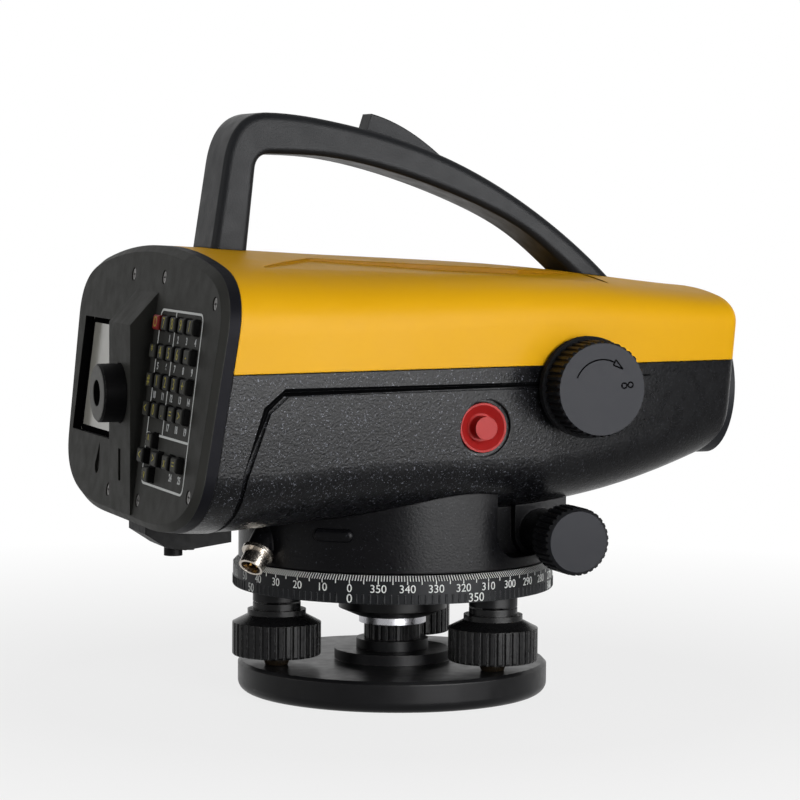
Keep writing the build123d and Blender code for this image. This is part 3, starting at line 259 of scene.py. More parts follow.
class Finish(Graph):
    """A material in the making, with the colour, roughness and relief found so far.

    Its colour lies between a dark and a light one, with so many patches to the millimetre, and its
    roughness in a range. Further values go into the shader's sockets of the same names.
    """

    def __init__(
        self, name, dark, light, patches, roughness, edge=EDGE_R, gloss=LOW_GLOSS, **sockets
    ):
        self.material = bpy.data.materials.new(name)
        self.material.use_nodes = True
        super().__init__(self.material.node_tree)
        self.shader = self.tree.nodes["Principled BSDF"]
        self.shader.inputs["Specular IOR Level"].default_value = gloss
        for socket, value in sockets.items():
            self.shader.inputs[socket.replace("_", " ")].default_value = value
        coordinates = self.add("TexCoord").outputs["Object"]
        scaled = self.add("VectorMath", {0: coordinates, "Scale": 1 / MM}, operation="SCALE")
        self.places = scaled.outputs[0]
        self.soft_normal = self.add("Bevel", {"Radius": edge * MM}).outputs["Normal"]
        self.normal = self.soft_normal
        self.colour = self.blend(self.noise(patches, detail=3), dark, light)
        clouds = self.noise(ROUGH_FINENESS * patches, detail=4)
        self.rough = self.span(clouds, *CLOUD_RANGE, *roughness)

    def noise(self, scale, detail=2, twist=0.0):
        """Soft cloud pattern, with so many features to the millimetre."""
        inputs = {"Vector": self.places, "Scale": scale, "Detail": detail, "Distortion": twist}
        return self.add("TexNoise", inputs).outputs["Fac"]

    def cells(self, scale):
        """Pattern of uneven cells, with so many to the millimetre."""
        return self.add("TexVoronoi", {"Vector": self.places, "Scale": scale}).outputs

    def spots(self, scale, size, share):
        """Mask of round spots of mixed size, in the given share of cells."""
        cells = self.cells(scale)
        chance = self.add("SeparateColor", {0: cells["Color"]}).outputs[0]
        reach = self.span(chance, 1 - share, 1, to_high=size)
        return self.math("LESS_THAN", cells["Distance"], reach)

    def along(self, axis):
        """Place along one axis of the frame, in millimetres."""
        return self.add("SeparateXYZ", {0: self.places}).outputs[axis]

    def toward(self, direction):
        """Place along any direction, in millimetres."""
        return self.dot(self.places, direction)

    def facing(self, axis):
        """How far the surface faces along one axis of the frame, from -1 to 1."""
        normal = self.add("TexCoord").outputs["Normal"]
        return self.add("SeparateXYZ", {0: normal}).outputs[axis]

    def dot(self, first, second):
        """Share of one direction in another."""
        inputs = {0: first, 1: second}
        return self.add("VectorMath", inputs, operation="DOT_PRODUCT").outputs["Value"]

    def within(self, value, middle, half):
        """1 where a value lies in a range, else 0."""
        return self.add("Math", {0: value, 1: middle, 2: half}, operation="COMPARE").outputs[0]

    def blend(self, share, first, second):
        """Mix of two colours, with a share of the second."""
        return self.add("Mix", {0: share, 6: first, 7: second}, data_type="RGBA").outputs[2]

    def overlay(self, mask, colour):
        """Lay a colour over the finish where the mask is."""
        self.colour = self.blend(mask, self.colour, colour)

    def relief(self, height, depth):
        """Raise the surface by a pattern, to the given depth."""
        inputs = {"Height": height, "Distance": depth * MM, "Normal": self.normal}
        self.normal = self.add("Bump", inputs).outputs["Normal"]

    def wear(self, colour, amount):
        """Rub the finish through along its edges, unevenly."""
        sharp_normal = self.add("NewGeometry").outputs["Normal"]
        edge = self.span(self.dot(sharp_normal, self.soft_normal), *EDGE_RANGE)
        patchy = self.span(self.noise(WORN_PATCHES, detail=3), *WORN_RANGE, to_high=amount)
        self.overlay(self.math("MULTIPLY", edge, patchy), colour)

    def done(self):
        """Material with everything linked to its shader."""
        self.feed(self.shader.inputs["Base Color"], self.colour)
        self.feed(self.shader.inputs["Roughness"], self.rough)
        self.feed(self.shader.inputs["Normal"], self.normal)
        return self.material


# Finishes
def black_paint():
    """Satin stove paint of the base plate and the levelling head."""
    finish = Finish(
        "black_paint", srgb(12, 12, 13), srgb(17, 17, 19),
        patches=0.05, roughness=(0.3, 0.38), edge=0.5, gloss=0.1,
    )
    finish.relief(finish.noise(2.5), depth=0.003)
    finish.wear(srgb(84, 82, 78), amount=0.5)
    return finish.done()


def speckled_paint():
    """Dark hammered paint with fine pale flecks and pin holes, the flecks thinned out towards the
    objective as painted shade.
    """
    finish = Finish(
        "speckled_paint", srgb(8, 8, 10), srgb(12, 12, 14),
        patches=0.05, roughness=(0.24, 0.32), edge=0.6, gloss=0.08,
    )
    grain = finish.noise(1.1, detail=3)
    finish.overlay(finish.span(grain, 0.4, 0.62, to_high=0.35), srgb(22, 23, 25))
    flecks = finish.span(finish.noise(1.5, detail=1, twist=1.2), 0.66, 0.7)
    # painted shade: fewer pale flecks towards the objective
    fleck_shade_thinning = finish.span(finish.along("X"), *FLECK_SHADE_RANGE, *FLECK_SHARE)
    finish.overlay(finish.math("MULTIPLY", flecks, fleck_shade_thinning), srgb(124, 127, 136))
    pits = finish.spots(scale=0.3, size=0.18, share=0.25)
    finish.overlay(pits, srgb(4, 4, 5))
    finish.relief(grain, depth=0.14)
    finish.relief(finish.span(pits, 0, 1, to_low=1, to_high=0), depth=0.08)
    return finish.done()


def fine_cast_paint():
    """Black paint on the cast drum, with a fine grain and few flecks."""
    finish = Finish(
        "fine_cast_paint", srgb(9, 9, 11), srgb(14, 14, 16),
        patches=0.05, roughness=(0.26, 0.34), edge=0.8,
    )
    flecks = finish.span(finish.noise(1.4, detail=1, twist=1.2), 0.7, 0.74, to_high=0.5)
    finish.overlay(flecks, srgb(70, 72, 78))
    finish.relief(finish.noise(1.1, detail=3), depth=0.08)
    finish.wear(srgb(70, 70, 72), amount=0.3)
    return finish.done()


def strip_wall(finish):
    """Mask of the painted shade on the low wall round the raised strip on the cover's crown."""
    start, end = STRIP_SPAN
    place = finish.along("X")
    wall = finish.within(place, (start + end) / 2, (end - start) / 2)
    narrowing = finish.math("MULTIPLY", place, CROWN_TAPER)
    across = finish.math("ADD", finish.math("ABSOLUTE", finish.along("Y")), narrowing)
    wall = finish.math("MULTIPLY", wall, finish.math("LESS_THAN", across, CROWN_HALF))
    return finish.math("MULTIPLY", wall, finish.math("LESS_THAN", finish.facing("Z"), WALL_LEAN))


def yellow_cover():
    """Satin yellow lacquer, paler along its edges, with painted shade: a deeper yellow on the raised
    strip's low wall.
    """
    finish = Finish(
        "yellow_cover", srgb(224, 165, 10), srgb(232, 174, 20),
        patches=0.02, roughness=(0.42, 0.5), edge=0.9,
    )
    finish.relief(finish.noise(1.6), depth=0.008)
    finish.wear(srgb(246, 206, 92), amount=0.4)
    # painted shade: deeper yellow on the strip's low wall
    finish.overlay(strip_wall(finish), srgb(150, 106, 6))
    return finish.done()


def panel_plastic():
    """Matt grained plastic of the rear panel, with painted shade round its side and in the display's
    opening.
    """
    finish = Finish(
        "panel_plastic", srgb(46, 46, 44), srgb(54, 54, 52),
        patches=0.04, roughness=(0.42, 0.54), edge=0.5, gloss=0.02,
    )
    depth = finish.math("SUBTRACT", panel_origin.dot(panel_out), finish.toward(panel_out))
    # painted shade on the panel's side, behind the face
    finish.overlay(finish.math("GREATER_THAN", depth, PANEL_EDGE), srgb(18, 18, 22))
    # painted shade in the display's opening and on its walls
    opening = finish.math("GREATER_THAN", depth, LCD_MARGIN)
    for axis, (low, high) in ((panel_right, LCD_S), (panel_up, LCD_T)):
        middle = panel_origin.dot(axis) + (low + high) / 2
        inside = finish.within(finish.toward(axis), middle, (high - low) / 2 + LCD_MARGIN)
        opening = finish.math("MULTIPLY", opening, inside)
    finish.overlay(opening, srgb(12, 12, 14))
    finish.relief(finish.noise(2.2, detail=3), depth=0.03)
    finish.wear(srgb(92, 92, 88), amount=0.35)
    return finish.done()


def black_plastic():
    """Moulded plastic of the handle, with a fine leathery grain."""
    finish = Finish(
        "black_plastic", srgb(26, 27, 29), srgb(34, 35, 37),
        patches=0.04, roughness=(0.34, 0.44), edge=0.5,
    )
    finish.relief(finish.cells(1.4)["Distance"], depth=0.03)
    finish.wear(srgb(78, 78, 80), amount=0.3)
    return finish.done()


def knob_plastic(name, axis, face):
    """Dark ribbed knob whose end face is greyer than its side, with a dull rim at the back."""
    finish = Finish(
        name, srgb(18, 18, 20), srgb(26, 27, 29),
        patches=0.1, roughness=(0.32, 0.42), gloss=0.042,
    )
    reach = finish.math("ABSOLUTE", finish.along(axis))
    finish.overlay(finish.math("GREATER_THAN", reach, face), srgb(26, 27, 31))
    rim = finish.math("LESS_THAN", reach, face - KNOB_RIM)
    dull = finish.math("MULTIPLY", rim, RIM_ROUGHNESS)
    finish.rough = finish.math("MAXIMUM", finish.rough, dull)
    finish.relief(finish.noise(3.0), depth=0.012)
    finish.wear(srgb(86, 86, 88), amount=0.5)
    return finish.done()


def foot_knob():
    """Dark ribbed knob with a dark brown neck and ball under it."""
    finish = Finish(
        "foot_knob", srgb(14, 14, 15), srgb(20, 20, 21),
        patches=0.1, roughness=(0.24, 0.32), edge=0.25, gloss=0.12,
    )
    finish.wear(srgb(92, 90, 86), amount=0.5)
    neck = finish.math("LESS_THAN", finish.along("Z"), FOOT_KNOB_Z)
    finish.overlay(neck, srgb(34, 28, 20))
    finish.relief(finish.noise(2.5), depth=0.01)
    return finish.done()


def circle_black():
    """Satin black of the graduated circle."""
    finish = Finish(
        "circle_black", srgb(24, 25, 27), srgb(32, 33, 35), patches=0.08, roughness=(0.3, 0.4)
    )
    finish.relief(finish.noise(2.0), depth=0.008)
    finish.wear(srgb(110, 110, 112), amount=0.6)
    return finish.done()


def turned_metal(name, dark, light, roughness):
    """Bare metal with fine tool marks and a little tarnish."""
    finish = Finish(
        name, dark, light,
        patches=0.3, roughness=roughness, edge=0.2, gloss=PLAIN_GLOSS, Metallic=1.0,
    )
    tarnish = finish.span(finish.noise(0.5, detail=4), 0.55, 0.75, to_high=0.4)
    finish.overlay(tarnish, dark)
    finish.relief(finish.noise(5.0), depth=0.0015)
    return finish.done()


def dull_metal(name, dark, light):
    """Matt painted or blackened metal of the tubes, cells and cases."""
    finish = Finish(name, dark, light, patches=0.1, roughness=(0.42, 0.56))
    finish.relief(finish.noise(3.0), depth=0.008)
    finish.wear(srgb(96, 96, 98), amount=0.5)
    return finish.done()


def screen():
    """Pale liquid crystal screen with a faint grid."""
    finish = Finish(
        "display_glass", srgb(150, 148, 140), srgb(160, 158, 150),
        patches=0.03, roughness=(0.16, 0.24), edge=0.2, gloss=PLAIN_GLOSS,
    )
    rows = finish.math("SINE", finish.math("MULTIPLY", finish.along("Z"), LCD_GRID))
    columns = finish.math("SINE", finish.math("MULTIPLY", finish.along("Y"), LCD_GRID))
    grid = finish.math("MULTIPLY", rows, columns)
    finish.overlay(finish.span(grid, 0.5, 1, to_high=0.12), srgb(110, 110, 104))
    return finish.done()


def coated_glass():
    """Lens glass with a violet coating that shows at a slant."""
    finish = Finish(
        "lens_glass", srgb(222, 226, 236), srgb(232, 234, 242),
        patches=0.05, roughness=(0.01, 0.03), edge=0.1, gloss=PLAIN_GLOSS,
        Transmission_Weight=1.0, IOR=1.52, Coat_Weight=0.6, Coat_Tint=srgb(196, 170, 236),
    )
    return finish.done()


def red_plastic(name, dark, light):
    """Red moulded plastic, slightly worn on its edges."""
    finish = Finish(name, dark, light, patches=0.15, roughness=(0.32, 0.44), edge=0.4)
    finish.relief(finish.noise(3.0), depth=0.008)
    finish.wear(srgb(212, 112, 104), amount=0.5)
    return finish.done()


def key_rubber():
    """Soft key with black sides and a top painted paler, as a highlight."""
    finish = Finish(
        "key_black", srgb(9, 9, 9), srgb(15, 15, 15), patches=0.4, roughness=(0.45, 0.6), edge=0.4
    )
    top = panel_origin.dot(panel_out) + KEY_PROUD - KEY_SKIN
    highlight_top = finish.math("GREATER_THAN", finish.toward(panel_out), top)
    # painted highlight: a paler top on each key
    finish.overlay(highlight_top, srgb(46, 46, 42))
    finish.relief(finish.noise(4.0), depth=0.01)
    finish.wear(srgb(40, 40, 39), amount=0.4)
    return finish.done()


def eyepiece_black():
    """Black ring of the eyepiece with a worn grey end."""
    finish = Finish(
        "eyepiece", srgb(8, 8, 9), srgb(13, 13, 14),
        patches=0.2, roughness=(0.4, 0.54), edge=0.4, gloss=0.04,
    )
    end = finish.math("LESS_THAN", finish.along("X"), EYEPIECE_END)
    finish.overlay(end, srgb(98, 98, 96))
    finish.relief(finish.noise(3.0), depth=0.01)
    finish.wear(srgb(128, 128, 126), amount=0.5)
    return finish.done()


def circuit_board():
    """Green board with copper paths under the lacquer."""
    finish = Finish(
        "board", srgb(18, 66, 38), srgb(26, 84, 50), patches=0.1, roughness=(0.3, 0.42), edge=0.2
    )
    paths = finish.add("TexBrick", {"Vector": finish.places, "Scale": 0.25, "Mortar Size": 0.03})
    finish.overlay(paths.outputs["Fac"], srgb(120, 140, 70))
    return finish.done()


def print_ink(name, dark, light, gloss=LOW_GLOSS):
    """Printing ink, a little uneven in cover."""
    finish = Finish(name, dark, light, patches=0.8, roughness=(0.5, 0.62), edge=0.05, gloss=gloss)
    finish.relief(finish.noise(4.0), depth=0.005)
    return finish.done()


paint = black_paint()
drum_paint = fine_cast_paint()
speckle = speckled_paint()
steel = turned_metal("steel", srgb(150, 150, 154), srgb(186, 186, 190), (0.24, 0.36))
brass = turned_metal("brass", srgb(150, 114, 56), srgb(188, 148, 82), (0.26, 0.4))
ring_black = circle_black()
anodised = dull_metal("anodised", srgb(20, 20, 22), srgb(28, 28, 30))
glass = coated_glass()
board = circuit_board()
foot_black = foot_knob()
key_black = key_rubber()
white_ink = print_ink("white_ink", srgb(206, 208, 206), srgb(226, 228, 226))
pale_ink = print_ink("pale_ink", srgb(196, 198, 198), srgb(214, 216, 216))
yellow_ink = print_ink("yellow_ink", srgb(150, 140, 58), srgb(168, 158, 78))
# dark ink of the marks, also used for the painted shade along the flanks' recesses
dark_ink_and_shade = print_ink("dark_ink_and_shade", srgb(6, 6, 7), srgb(10, 10, 11), gloss=0.0)

finishes = {   # of each node; the keys that aren't named here are black
    "base_plate": paint,
    "guide_pin": paint,
    "levelling_head": paint,
    "foot_screw_1": foot_black,
    "foot_screw_2": foot_black,
    "foot_screw_3": foot_black,
    "axis_spindle": steel,
    "circle_ring": ring_black,
    "alidade_base": drum_paint,
    "worm_wheel": brass,
    "drive_shaft": steel,
    "drive_knobs": knob_plastic("drive_black", "Y", DRIVE_FACE),
    "data_socket": turned_metal("nickel", srgb(164, 156, 146), srgb(196, 190, 182), (0.18, 0.3)),
    "lower_housing": speckle,
    "battery_door": speckle,
    "upper_cover": yellow_cover(),
    "rear_panel": panel_plastic(),
    "panel_screws": turned_metal("dark_steel", srgb(84, 83, 82), srgb(116, 114, 112), (0.3, 0.42)),
    "display": screen(),
    "main_board": board,
    "handle": black_plastic(),
    "level_holder": dull_metal("holder_black", srgb(12, 12, 13), srgb(18, 18, 19)),
    "telescope_tube": anodised,
    "objective_cell": dull_metal("front_ring", srgb(26, 27, 30), srgb(38, 39, 42)),
    "objective_lens": glass,
    "focus_knob": knob_plastic("focus_black", "Y", abs(FOCUS_FACE_Y) - FOCUS_SKIN),
    "focus_cell": anodised,
    "focus_lens": glass,
    "compensator_pendulum": dull_metal("prism_mount", srgb(110, 112, 116), srgb(134, 136, 140)),
    "image_sensor": board,
    "eyepiece_ring": eyepiece_black(),
    "eyepiece_lens": glass,
    "measure_button": red_plastic("red_button", srgb(154, 30, 30), srgb(170, 40, 38)),
    "battery": dull_metal("battery_case", srgb(60, 62, 66), srgb(76, 78, 82)),
    "key_power": red_plastic("red_key", srgb(120, 34, 34), srgb(136, 42, 40)),
}
for name, node in nodes.items():
    material = finishes.get(name, key_black)
    for slot in node.material_slots:
        slot.material = material


# Flat outlines in millimetres
def polar(radius, angle, centre=(0, 0)):
    """Point at a distance from a centre, in a direction in degrees."""
    turn = radians(angle)
    return (centre[0] + radius * cos(turn), centre[1] + radius * sin(turn))


def arc(centre, radius, start, end, steps=ARC_STEPS):
    """Points of an arc, between two directions in degrees."""
    return [polar(radius, start + (end - start) * i / steps, centre) for i in range(steps + 1)]


def rectangle(x0, x1, y0, y1):
    """Corners of a rectangle."""
    return ((x0, y0), (x1, y0), (x1, y1), (x0, y1))


def rounded_frame(xs, ys, radius):
    """Points round a rectangle with rounded corners."""
    (x0, x1), (y0, y1) = xs, ys
    corners = ((x1, y1, 0), (x0, y1, 90), (x0, y0, 180), (x1, y0, 270))
    points = []
    for x, y, start in corners:
        centre = (x - radius if x == x1 else x + radius, y - radius if y == y1 else y + radius)
        points += arc(centre, radius, start, start + 90, CORNER_STEPS)
    return points


def band(points, width, closed=False):
    """Four-cornered outlines of a flat line of the given width along the points."""
    count = len(points)
    sides = []
    for i, point in enumerate(points):
        before = points[i - 1] if closed or i else point
        after = points[(i + 1) % count] if closed or i < count - 1 else point
        along = (Vector(after) - Vector(before)).normalized()
        across = Vector((-along.y, along.x)) * width / 2
        sides.append((Vector(point) + across, Vector(point) - across))
    pairs = list(zip(sides, sides[1:] + sides[:1]))
    if not closed:
        pairs.pop()
    return [(left, right, next_right, next_left) for (left, right), (next_left, next_right) in pairs]


# Meshes and pieces
def thicken(mesh, shift):
    """Give a thin sheet its thickness, by a copy of it that is shifted by so many millimetres."""
    raised = bmesh.ops.extrude_face_region(mesh, geom=mesh.faces[:])["geom"]
    top = [part for part in raised if isinstance(part, bmesh.types.BMVert)]
    bmesh.ops.translate(mesh, verts=top, vec=[part * MM for part in shift])
    bmesh.ops.recalc_face_normals(mesh, faces=mesh.faces)


def flat_mesh(outlines):
    """Thin print with the given outlines, on the XY plane."""
    mesh = bmesh.new()
    for outline in outlines:
        mesh.faces.new([mesh.verts.new((x * MM, y * MM, 0)) for x, y in outline])
    thicken(mesh, (0, 0, PRINT_H))
    return mesh


def bridge(mesh, rows, closed=False):
    """Join rows of points by four-cornered faces, also from the last point to the first if closed."""
    for row, next_row in zip(rows, rows[1:]):
        count = len(row)
        for i in range(count if closed else count - 1):
            j = (i + 1) % count
            mesh.faces.new((row[i], row[j], next_row[j], next_row[i]))


def add_glyphs(mesh, text, height, centre, boldness=0.0):
    """Add digits or signs to a flat mesh, about a centre, with strokes widened by the boldness."""
    curve = bpy.data.curves.new("glyphs", "FONT")
    curve.body = text
    curve.size = height * MM / GLYPH_SHARE
    curve.align_x = "CENTER"
    curve.align_y = "CENTER"
    curve.extrude = PRINT_H * MM
    curve.offset = boldness * MM
    holder = bpy.data.objects.new("glyphs", curve)
    shape = bpy.data.meshes.new_from_object(holder)
    shape.transform(Matrix.Translation((centre[0] * MM, centre[1] * MM, 0)))
    mesh.from_mesh(shape)
    bpy.data.objects.remove(holder)
    bpy.data.curves.remove(curve)
    bpy.data.meshes.remove(shape)


def mesh_object(name, mesh, material):
    """Turn a finished mesh into an object of the scene."""
    data = bpy.data.meshes.new(name)
    mesh.to_mesh(data)
    mesh.free()
    data.materials.append(material)
    made = bpy.data.objects.new(name, data)
    bpy.context.scene.collection.objects.link(made)
    return made


def piece(name, mesh, body, material, smooth=False):
    """Turn a finished mesh into a piece that moves with a body."""
    holder = mesh_object(name, mesh, material)
    if smooth:
        holder.data.shade_smooth()
    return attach(holder, body)


def axes_matrix(x_axis, y_axis, place):
    """Matrix with the given directions, at a place in millimetres."""
    x_axis, y_axis = Vector(x_axis).normalized(), Vector(y_axis).normalized()
    turn = Matrix((x_axis, y_axis, x_axis.cross(y_axis))).transposed()
    return Matrix.Translation(Vector(place) * MM) @ turn.to_4x4()


def panel_place(s, t, out):
    """Place on the rear face, from its axes."""
    place = panel_origin + panel_right * s + panel_up * t + panel_out * out
    return axes_matrix(panel_right, panel_up, place)


# Marks on the rear panel
def key_table():
    """Node, glyph and place of each key on the rear face."""
    rows = []
    for row, glyphs in enumerate(KEY_GLYPHS):
        t = KEY_FIRST_T - row * KEY_PITCH_T
        for column, glyph in enumerate(glyphs):
            node = f"key_row{row + 1}_col{column + 1}" if row or column else "key_power"
            rows.append((node, glyph, KEY_FIRST_S + column * KEY_PITCH_S, t))
    pad_s = KEY_FIRST_S + PAD_STEP_S
    last_s = KEY_FIRST_S + (len(KEY_GLYPHS[0]) - 1) * KEY_PITCH_S
    return rows + [
        ("key_up", "^", pad_s, PAD_ROW_T + PAD_STEP_T),
        ("key_left", "<", pad_s - PAD_STEP_S, PAD_ROW_T),
        ("key_right", ">", pad_s + PAD_STEP_S, PAD_ROW_T),
        ("key_down", "v", pad_s, PAD_ROW_T - PAD_STEP_T),
        ("key_cancel", "x", last_s - KEY_PITCH_S, PAD_ROW_T),
        ("key_enter", "=", last_s, PAD_ROW_T),
    ]


def add_key_marks():
    """Digit or sign on top of each key."""
    for node, glyph, s, t in key_table():
        mesh = bmesh.new()
        add_glyphs(mesh, glyph, KEY_GLYPH_H, (0, 0))
        mesh.transform(panel_place(s, t, KEY_PROUD))
        piece("mark_" + node, mesh, node + "_body", yellow_ink)


def add_keypad_print():
    """White frame round the keys, its dividing lines and small numbers under the keys."""
    (s0, s1), (_, t1) = PRINT_S, PRINT_T
    lines = band(rounded_frame(PRINT_S, PRINT_T, PRINT_CORNER), PRINT_LINE, closed=True)
    lines += band([(s0, DIVIDER_T), (s1, DIVIDER_T)], PRINT_LINE)
    lines += band([(COLUMN_LINE_S, t1), (COLUMN_LINE_S, DIVIDER_T)], PRINT_LINE)
    mesh = flat_mesh(lines)
    mesh.transform(panel_place(0, 0, 0))
    piece("keypad_frame", mesh, "alidade", white_ink)
    labels = bmesh.new()
    for index, (node, _, s, t) in enumerate(key_table()):
        if node not in BARE_KEYS:
            add_glyphs(labels, str(index), LABEL_H, (s, t - LABEL_DROP), LABEL_BOLD)
    labels.transform(panel_place(0, 0, 0))
    piece("keypad_labels", labels, "alidade", pale_ink)


def add_screen_border():
    """Dark border printed round the visible part of the screen."""
    inset = LCD_BORDER / 2
    across, upward = ((low + inset, high - inset) for low, high in (LCD_S, LCD_T))
    mesh = flat_mesh(band(rounded_frame(across, upward, LCD_CORNER), LCD_BORDER, closed=True))
    mesh.transform(panel_place(0, 0, -LCD_DEPTH))
    piece("screen_border", mesh, "alidade", dark_ink_and_shade)


# Marks round the graduated circle, drawn unrolled and then wrapped
def wrap(mesh):
    """Bend an unrolled mesh round the circle and its bevel. X runs along the rim from the zero."""
    for vertex in mesh.verts:
        turn = radians(RING_ZERO) + vertex.co.x / (RING_R * MM)
        drawn_in = max(0, vertex.co.y - RING_BEVEL_Z * MM)
        radius = RING_R * MM + vertex.co.z - drawn_in
        vertex.co = (radius * cos(turn), radius * sin(turn), vertex.co.y)


def rim_place(angle):
    """Distance along the rim of a reading, which grows clockwise from above."""
    return -radians(angle) * RING_R


def gon_places():
    """Numbers of the lower scale, with their distances along the rim."""
    return [(gon, rim_place(gon * 360 / GONS)) for gon in range(0, GONS, GON_STEP)]


def add_graduation():
    """Ticks of the circle, with the numbers of both scales under them."""
    ticks = []
    for degree in range(360):
        length = next(size for step, size in TICK_LENGTHS if degree % step == 0)
        x = rim_place(degree)
        ends = (RING_TOP_Z - TICK_INSET, RING_BEVEL_Z, RING_TOP_Z - length)
        for high, low in zip(ends, ends[1:]):
            if high > low:
                ticks.append(rectangle(x - TICK_W / 2, x + TICK_W / 2, low, high))
    mesh = flat_mesh(ticks)
    for degree in range(0, 360, DEGREE_STEP):
        add_glyphs(mesh, str(degree), DEGREE_H, (rim_place(degree), DEGREE_Z))
    for gon, x in gon_places():
        add_glyphs(mesh, str(gon), GON_H, (x, GON_Z))
    wrap(mesh)
    piece("circle_graduation", mesh, "circle", white_ink)


def add_knurl():
    """Upright ribs round the lower band of the circle, for turning it by hand."""
    mesh = bmesh.new()
    profile = arc((0, -KNURL_SINK), KNURL_R, 0, 180, CORNER_STEPS)
    spacing = 2 * pi * RING_R / KNURL_RIBS
    numbers = [place for _, place in gon_places()]
    for rib in range(KNURL_RIBS):
        x = -spacing * rib
        if any(abs(x - number) < GON_ROOM for number in numbers):
            continue
        low, high = (
            [mesh.verts.new(((x + dx) * MM, z * MM, dz * MM)) for dx, dz in profile] for z in KNURL_Z
        )
        bridge(mesh, (low, high))
        mesh.faces.new(high)
        mesh.faces.new(low[::-1])
    bmesh.ops.recalc_face_normals(mesh, faces=mesh.faces)
    wrap(mesh)
    knurl = piece("circle_knurl", mesh, "circle", ring_black)


# Marks on the focusing knob
def add_focus_marks():
    """Round arrow and endless sign, engraved in the knob's end face."""
    start, end = ARROW_SPAN
    lines = band(arc((0, 0), ARROW_R, start, end), ENGRAVED_LINE)
    inner, outer = (polar(ARROW_R + side * ARROW_HALF, end) for side in (-1, 1))
    tip = polar(ARROW_R, ARROW_TIP)
    for ends in ((inner, tip), (tip, outer), (outer, inner)):
        lines += band(ends, ENGRAVED_LINE)
    for side in (-1, 1):
        centre = Vector(ENDLESS_PLACE) + side * Vector(ENDLESS_STEP)
        lines += band(arc(centre, ENDLESS_R, 0, 360)[:-1], ENGRAVED_LINE, closed=True)
    mesh = flat_mesh(lines)
    mesh.transform(axes_matrix((1, 0, 0), (0, 0, 1), (FOCUS_X, FOCUS_FACE_Y, FOCUS_Z)))
    piece("focus_marks", mesh, "focus", dark_ink_and_shade)


# Contacts in the data socket
def socket_matrix():
    """Place on the floor of the socket's mouth, with Z pointing out of it."""
    turn, dip = radians(SOCKET_ANGLE + SOCKET_TURN), radians(SOCKET_DIP)
    out = Vector((cos(dip) * cos(turn), cos(dip) * sin(turn), -sin(dip)))
    side = Vector((-sin(turn), cos(turn), 0))
    radius, height = SOCKET_ORIGIN
    origin = Vector((*polar(radius, SOCKET_ANGLE), height))
    return axes_matrix(side, out.cross(side), origin + out * SOCKET_FLOOR)


def add_rod(mesh, radius, ends, rounding, centre=(0, 0)):
    """Add an upright rod between two heights, with its upper edge rounded."""
    low, high = ends
    place = Matrix.Translation((centre[0] * MM, centre[1] * MM, (low + high) / 2 * MM))
    made = bmesh.ops.create_cone(
        mesh, segments=ROD_SIDES, radius1=radius * MM, radius2=radius * MM,
        depth=(high - low) * MM, cap_ends=True, matrix=place,
    )
    top = {vertex for vertex in made["verts"] if vertex.co.z > place.translation.z}
    rim = [edge for edge in mesh.edges if top.issuperset(edge.verts)]
    bmesh.ops.bevel(
        mesh, geom=rim, offset=radius * rounding * MM, segments=ROD_STEPS, affect="EDGES"
    )


def add_socket_contacts():
    """Dark insert in the socket with its ring of brass pins."""
    insert = bmesh.new()
    add_rod(insert, INSERT_R, INSERT_Z, INSERT_ROUNDING)
    insert.transform(socket_matrix())
    piece("socket_insert", insert, "alidade", dark_ink_and_shade)
    pins = bmesh.new()
    for i in range(PIN_COUNT):
        add_rod(pins, PIN_R, PIN_Z, PIN_ROUNDING, polar(PIN_CIRCLE_R, 360 * i / PIN_COUNT))
    pins.transform(socket_matrix())
    contacts = piece("socket_pins", pins, "alidade", brass, smooth=True)


# Small marks on the drum and the housing, and painted shade along the flanks' recesses
def boss_ring(step):
    """Points round the pad on the drum at one step of its rise, as (along, up, out)."""
    lift = radians(90 * step / BOSS_STEPS)
    inset = BOSS_ROUND * (1 - cos(lift))
    half_w, half_h = BOSS_HALF_W - inset, BOSS_HALF_H - inset
    outline = rounded_frame((-half_w, half_w), (-half_h, half_h), half_h - BOSS_END)
    return [(x, z, BOSS_PROUD * sin(lift) - BOSS_SINK) for x, z in outline]


def add_drum_boss():
    """Low rounded pad on the drum, under the housing: rings of points that rise to a flat top."""
    mesh = bmesh.new()
    rings = [[mesh.verts.new(point) for point in boss_ring(step)] for step in range(BOSS_STEPS + 1)]
    bridge(mesh, rings, closed=True)
    mesh.faces.new(rings[-1])
    mesh.faces.new(rings[0][::-1])
    for vertex in mesh.verts:
        x, z, out = vertex.co
        turn = radians(BOSS_ANGLE) + x / DRUM_R
        radius = DRUM_R + out
        vertex.co = (radius * cos(turn) * MM, radius * sin(turn) * MM, (BOSS_Z + z) * MM)
    bmesh.ops.recalc_face_normals(mesh, faces=mesh.faces)
    piece("drum_boss", mesh, "alidade", drum_paint, smooth=True)


def flank_point(x, z, side):
    """Point of a flank and its outward direction, at a place along the line of sight and up."""
    start = Vector((x, side * OUTSIDE_Y, z)) * MM
    _, place, normal, _ = nodes["lower_housing"].ray_cast(start, (0, -side, 0))
    return place / MM, normal


def add_index_mark():
    """Short dark line on the flank beside the focusing knob."""
    place, outward = flank_point(*INDEX_PLACE, side=-1)
    along = Vector((0, 0, 1)).cross(outward)
    length, width = INDEX_SIZE
    mesh = flat_mesh([rectangle(-length / 2, length / 2, -width / 2, width / 2)])
    mesh.transform(axes_matrix(along, outward.cross(along), place))
    piece("index_mark", mesh, "alidade", dark_ink_and_shade)


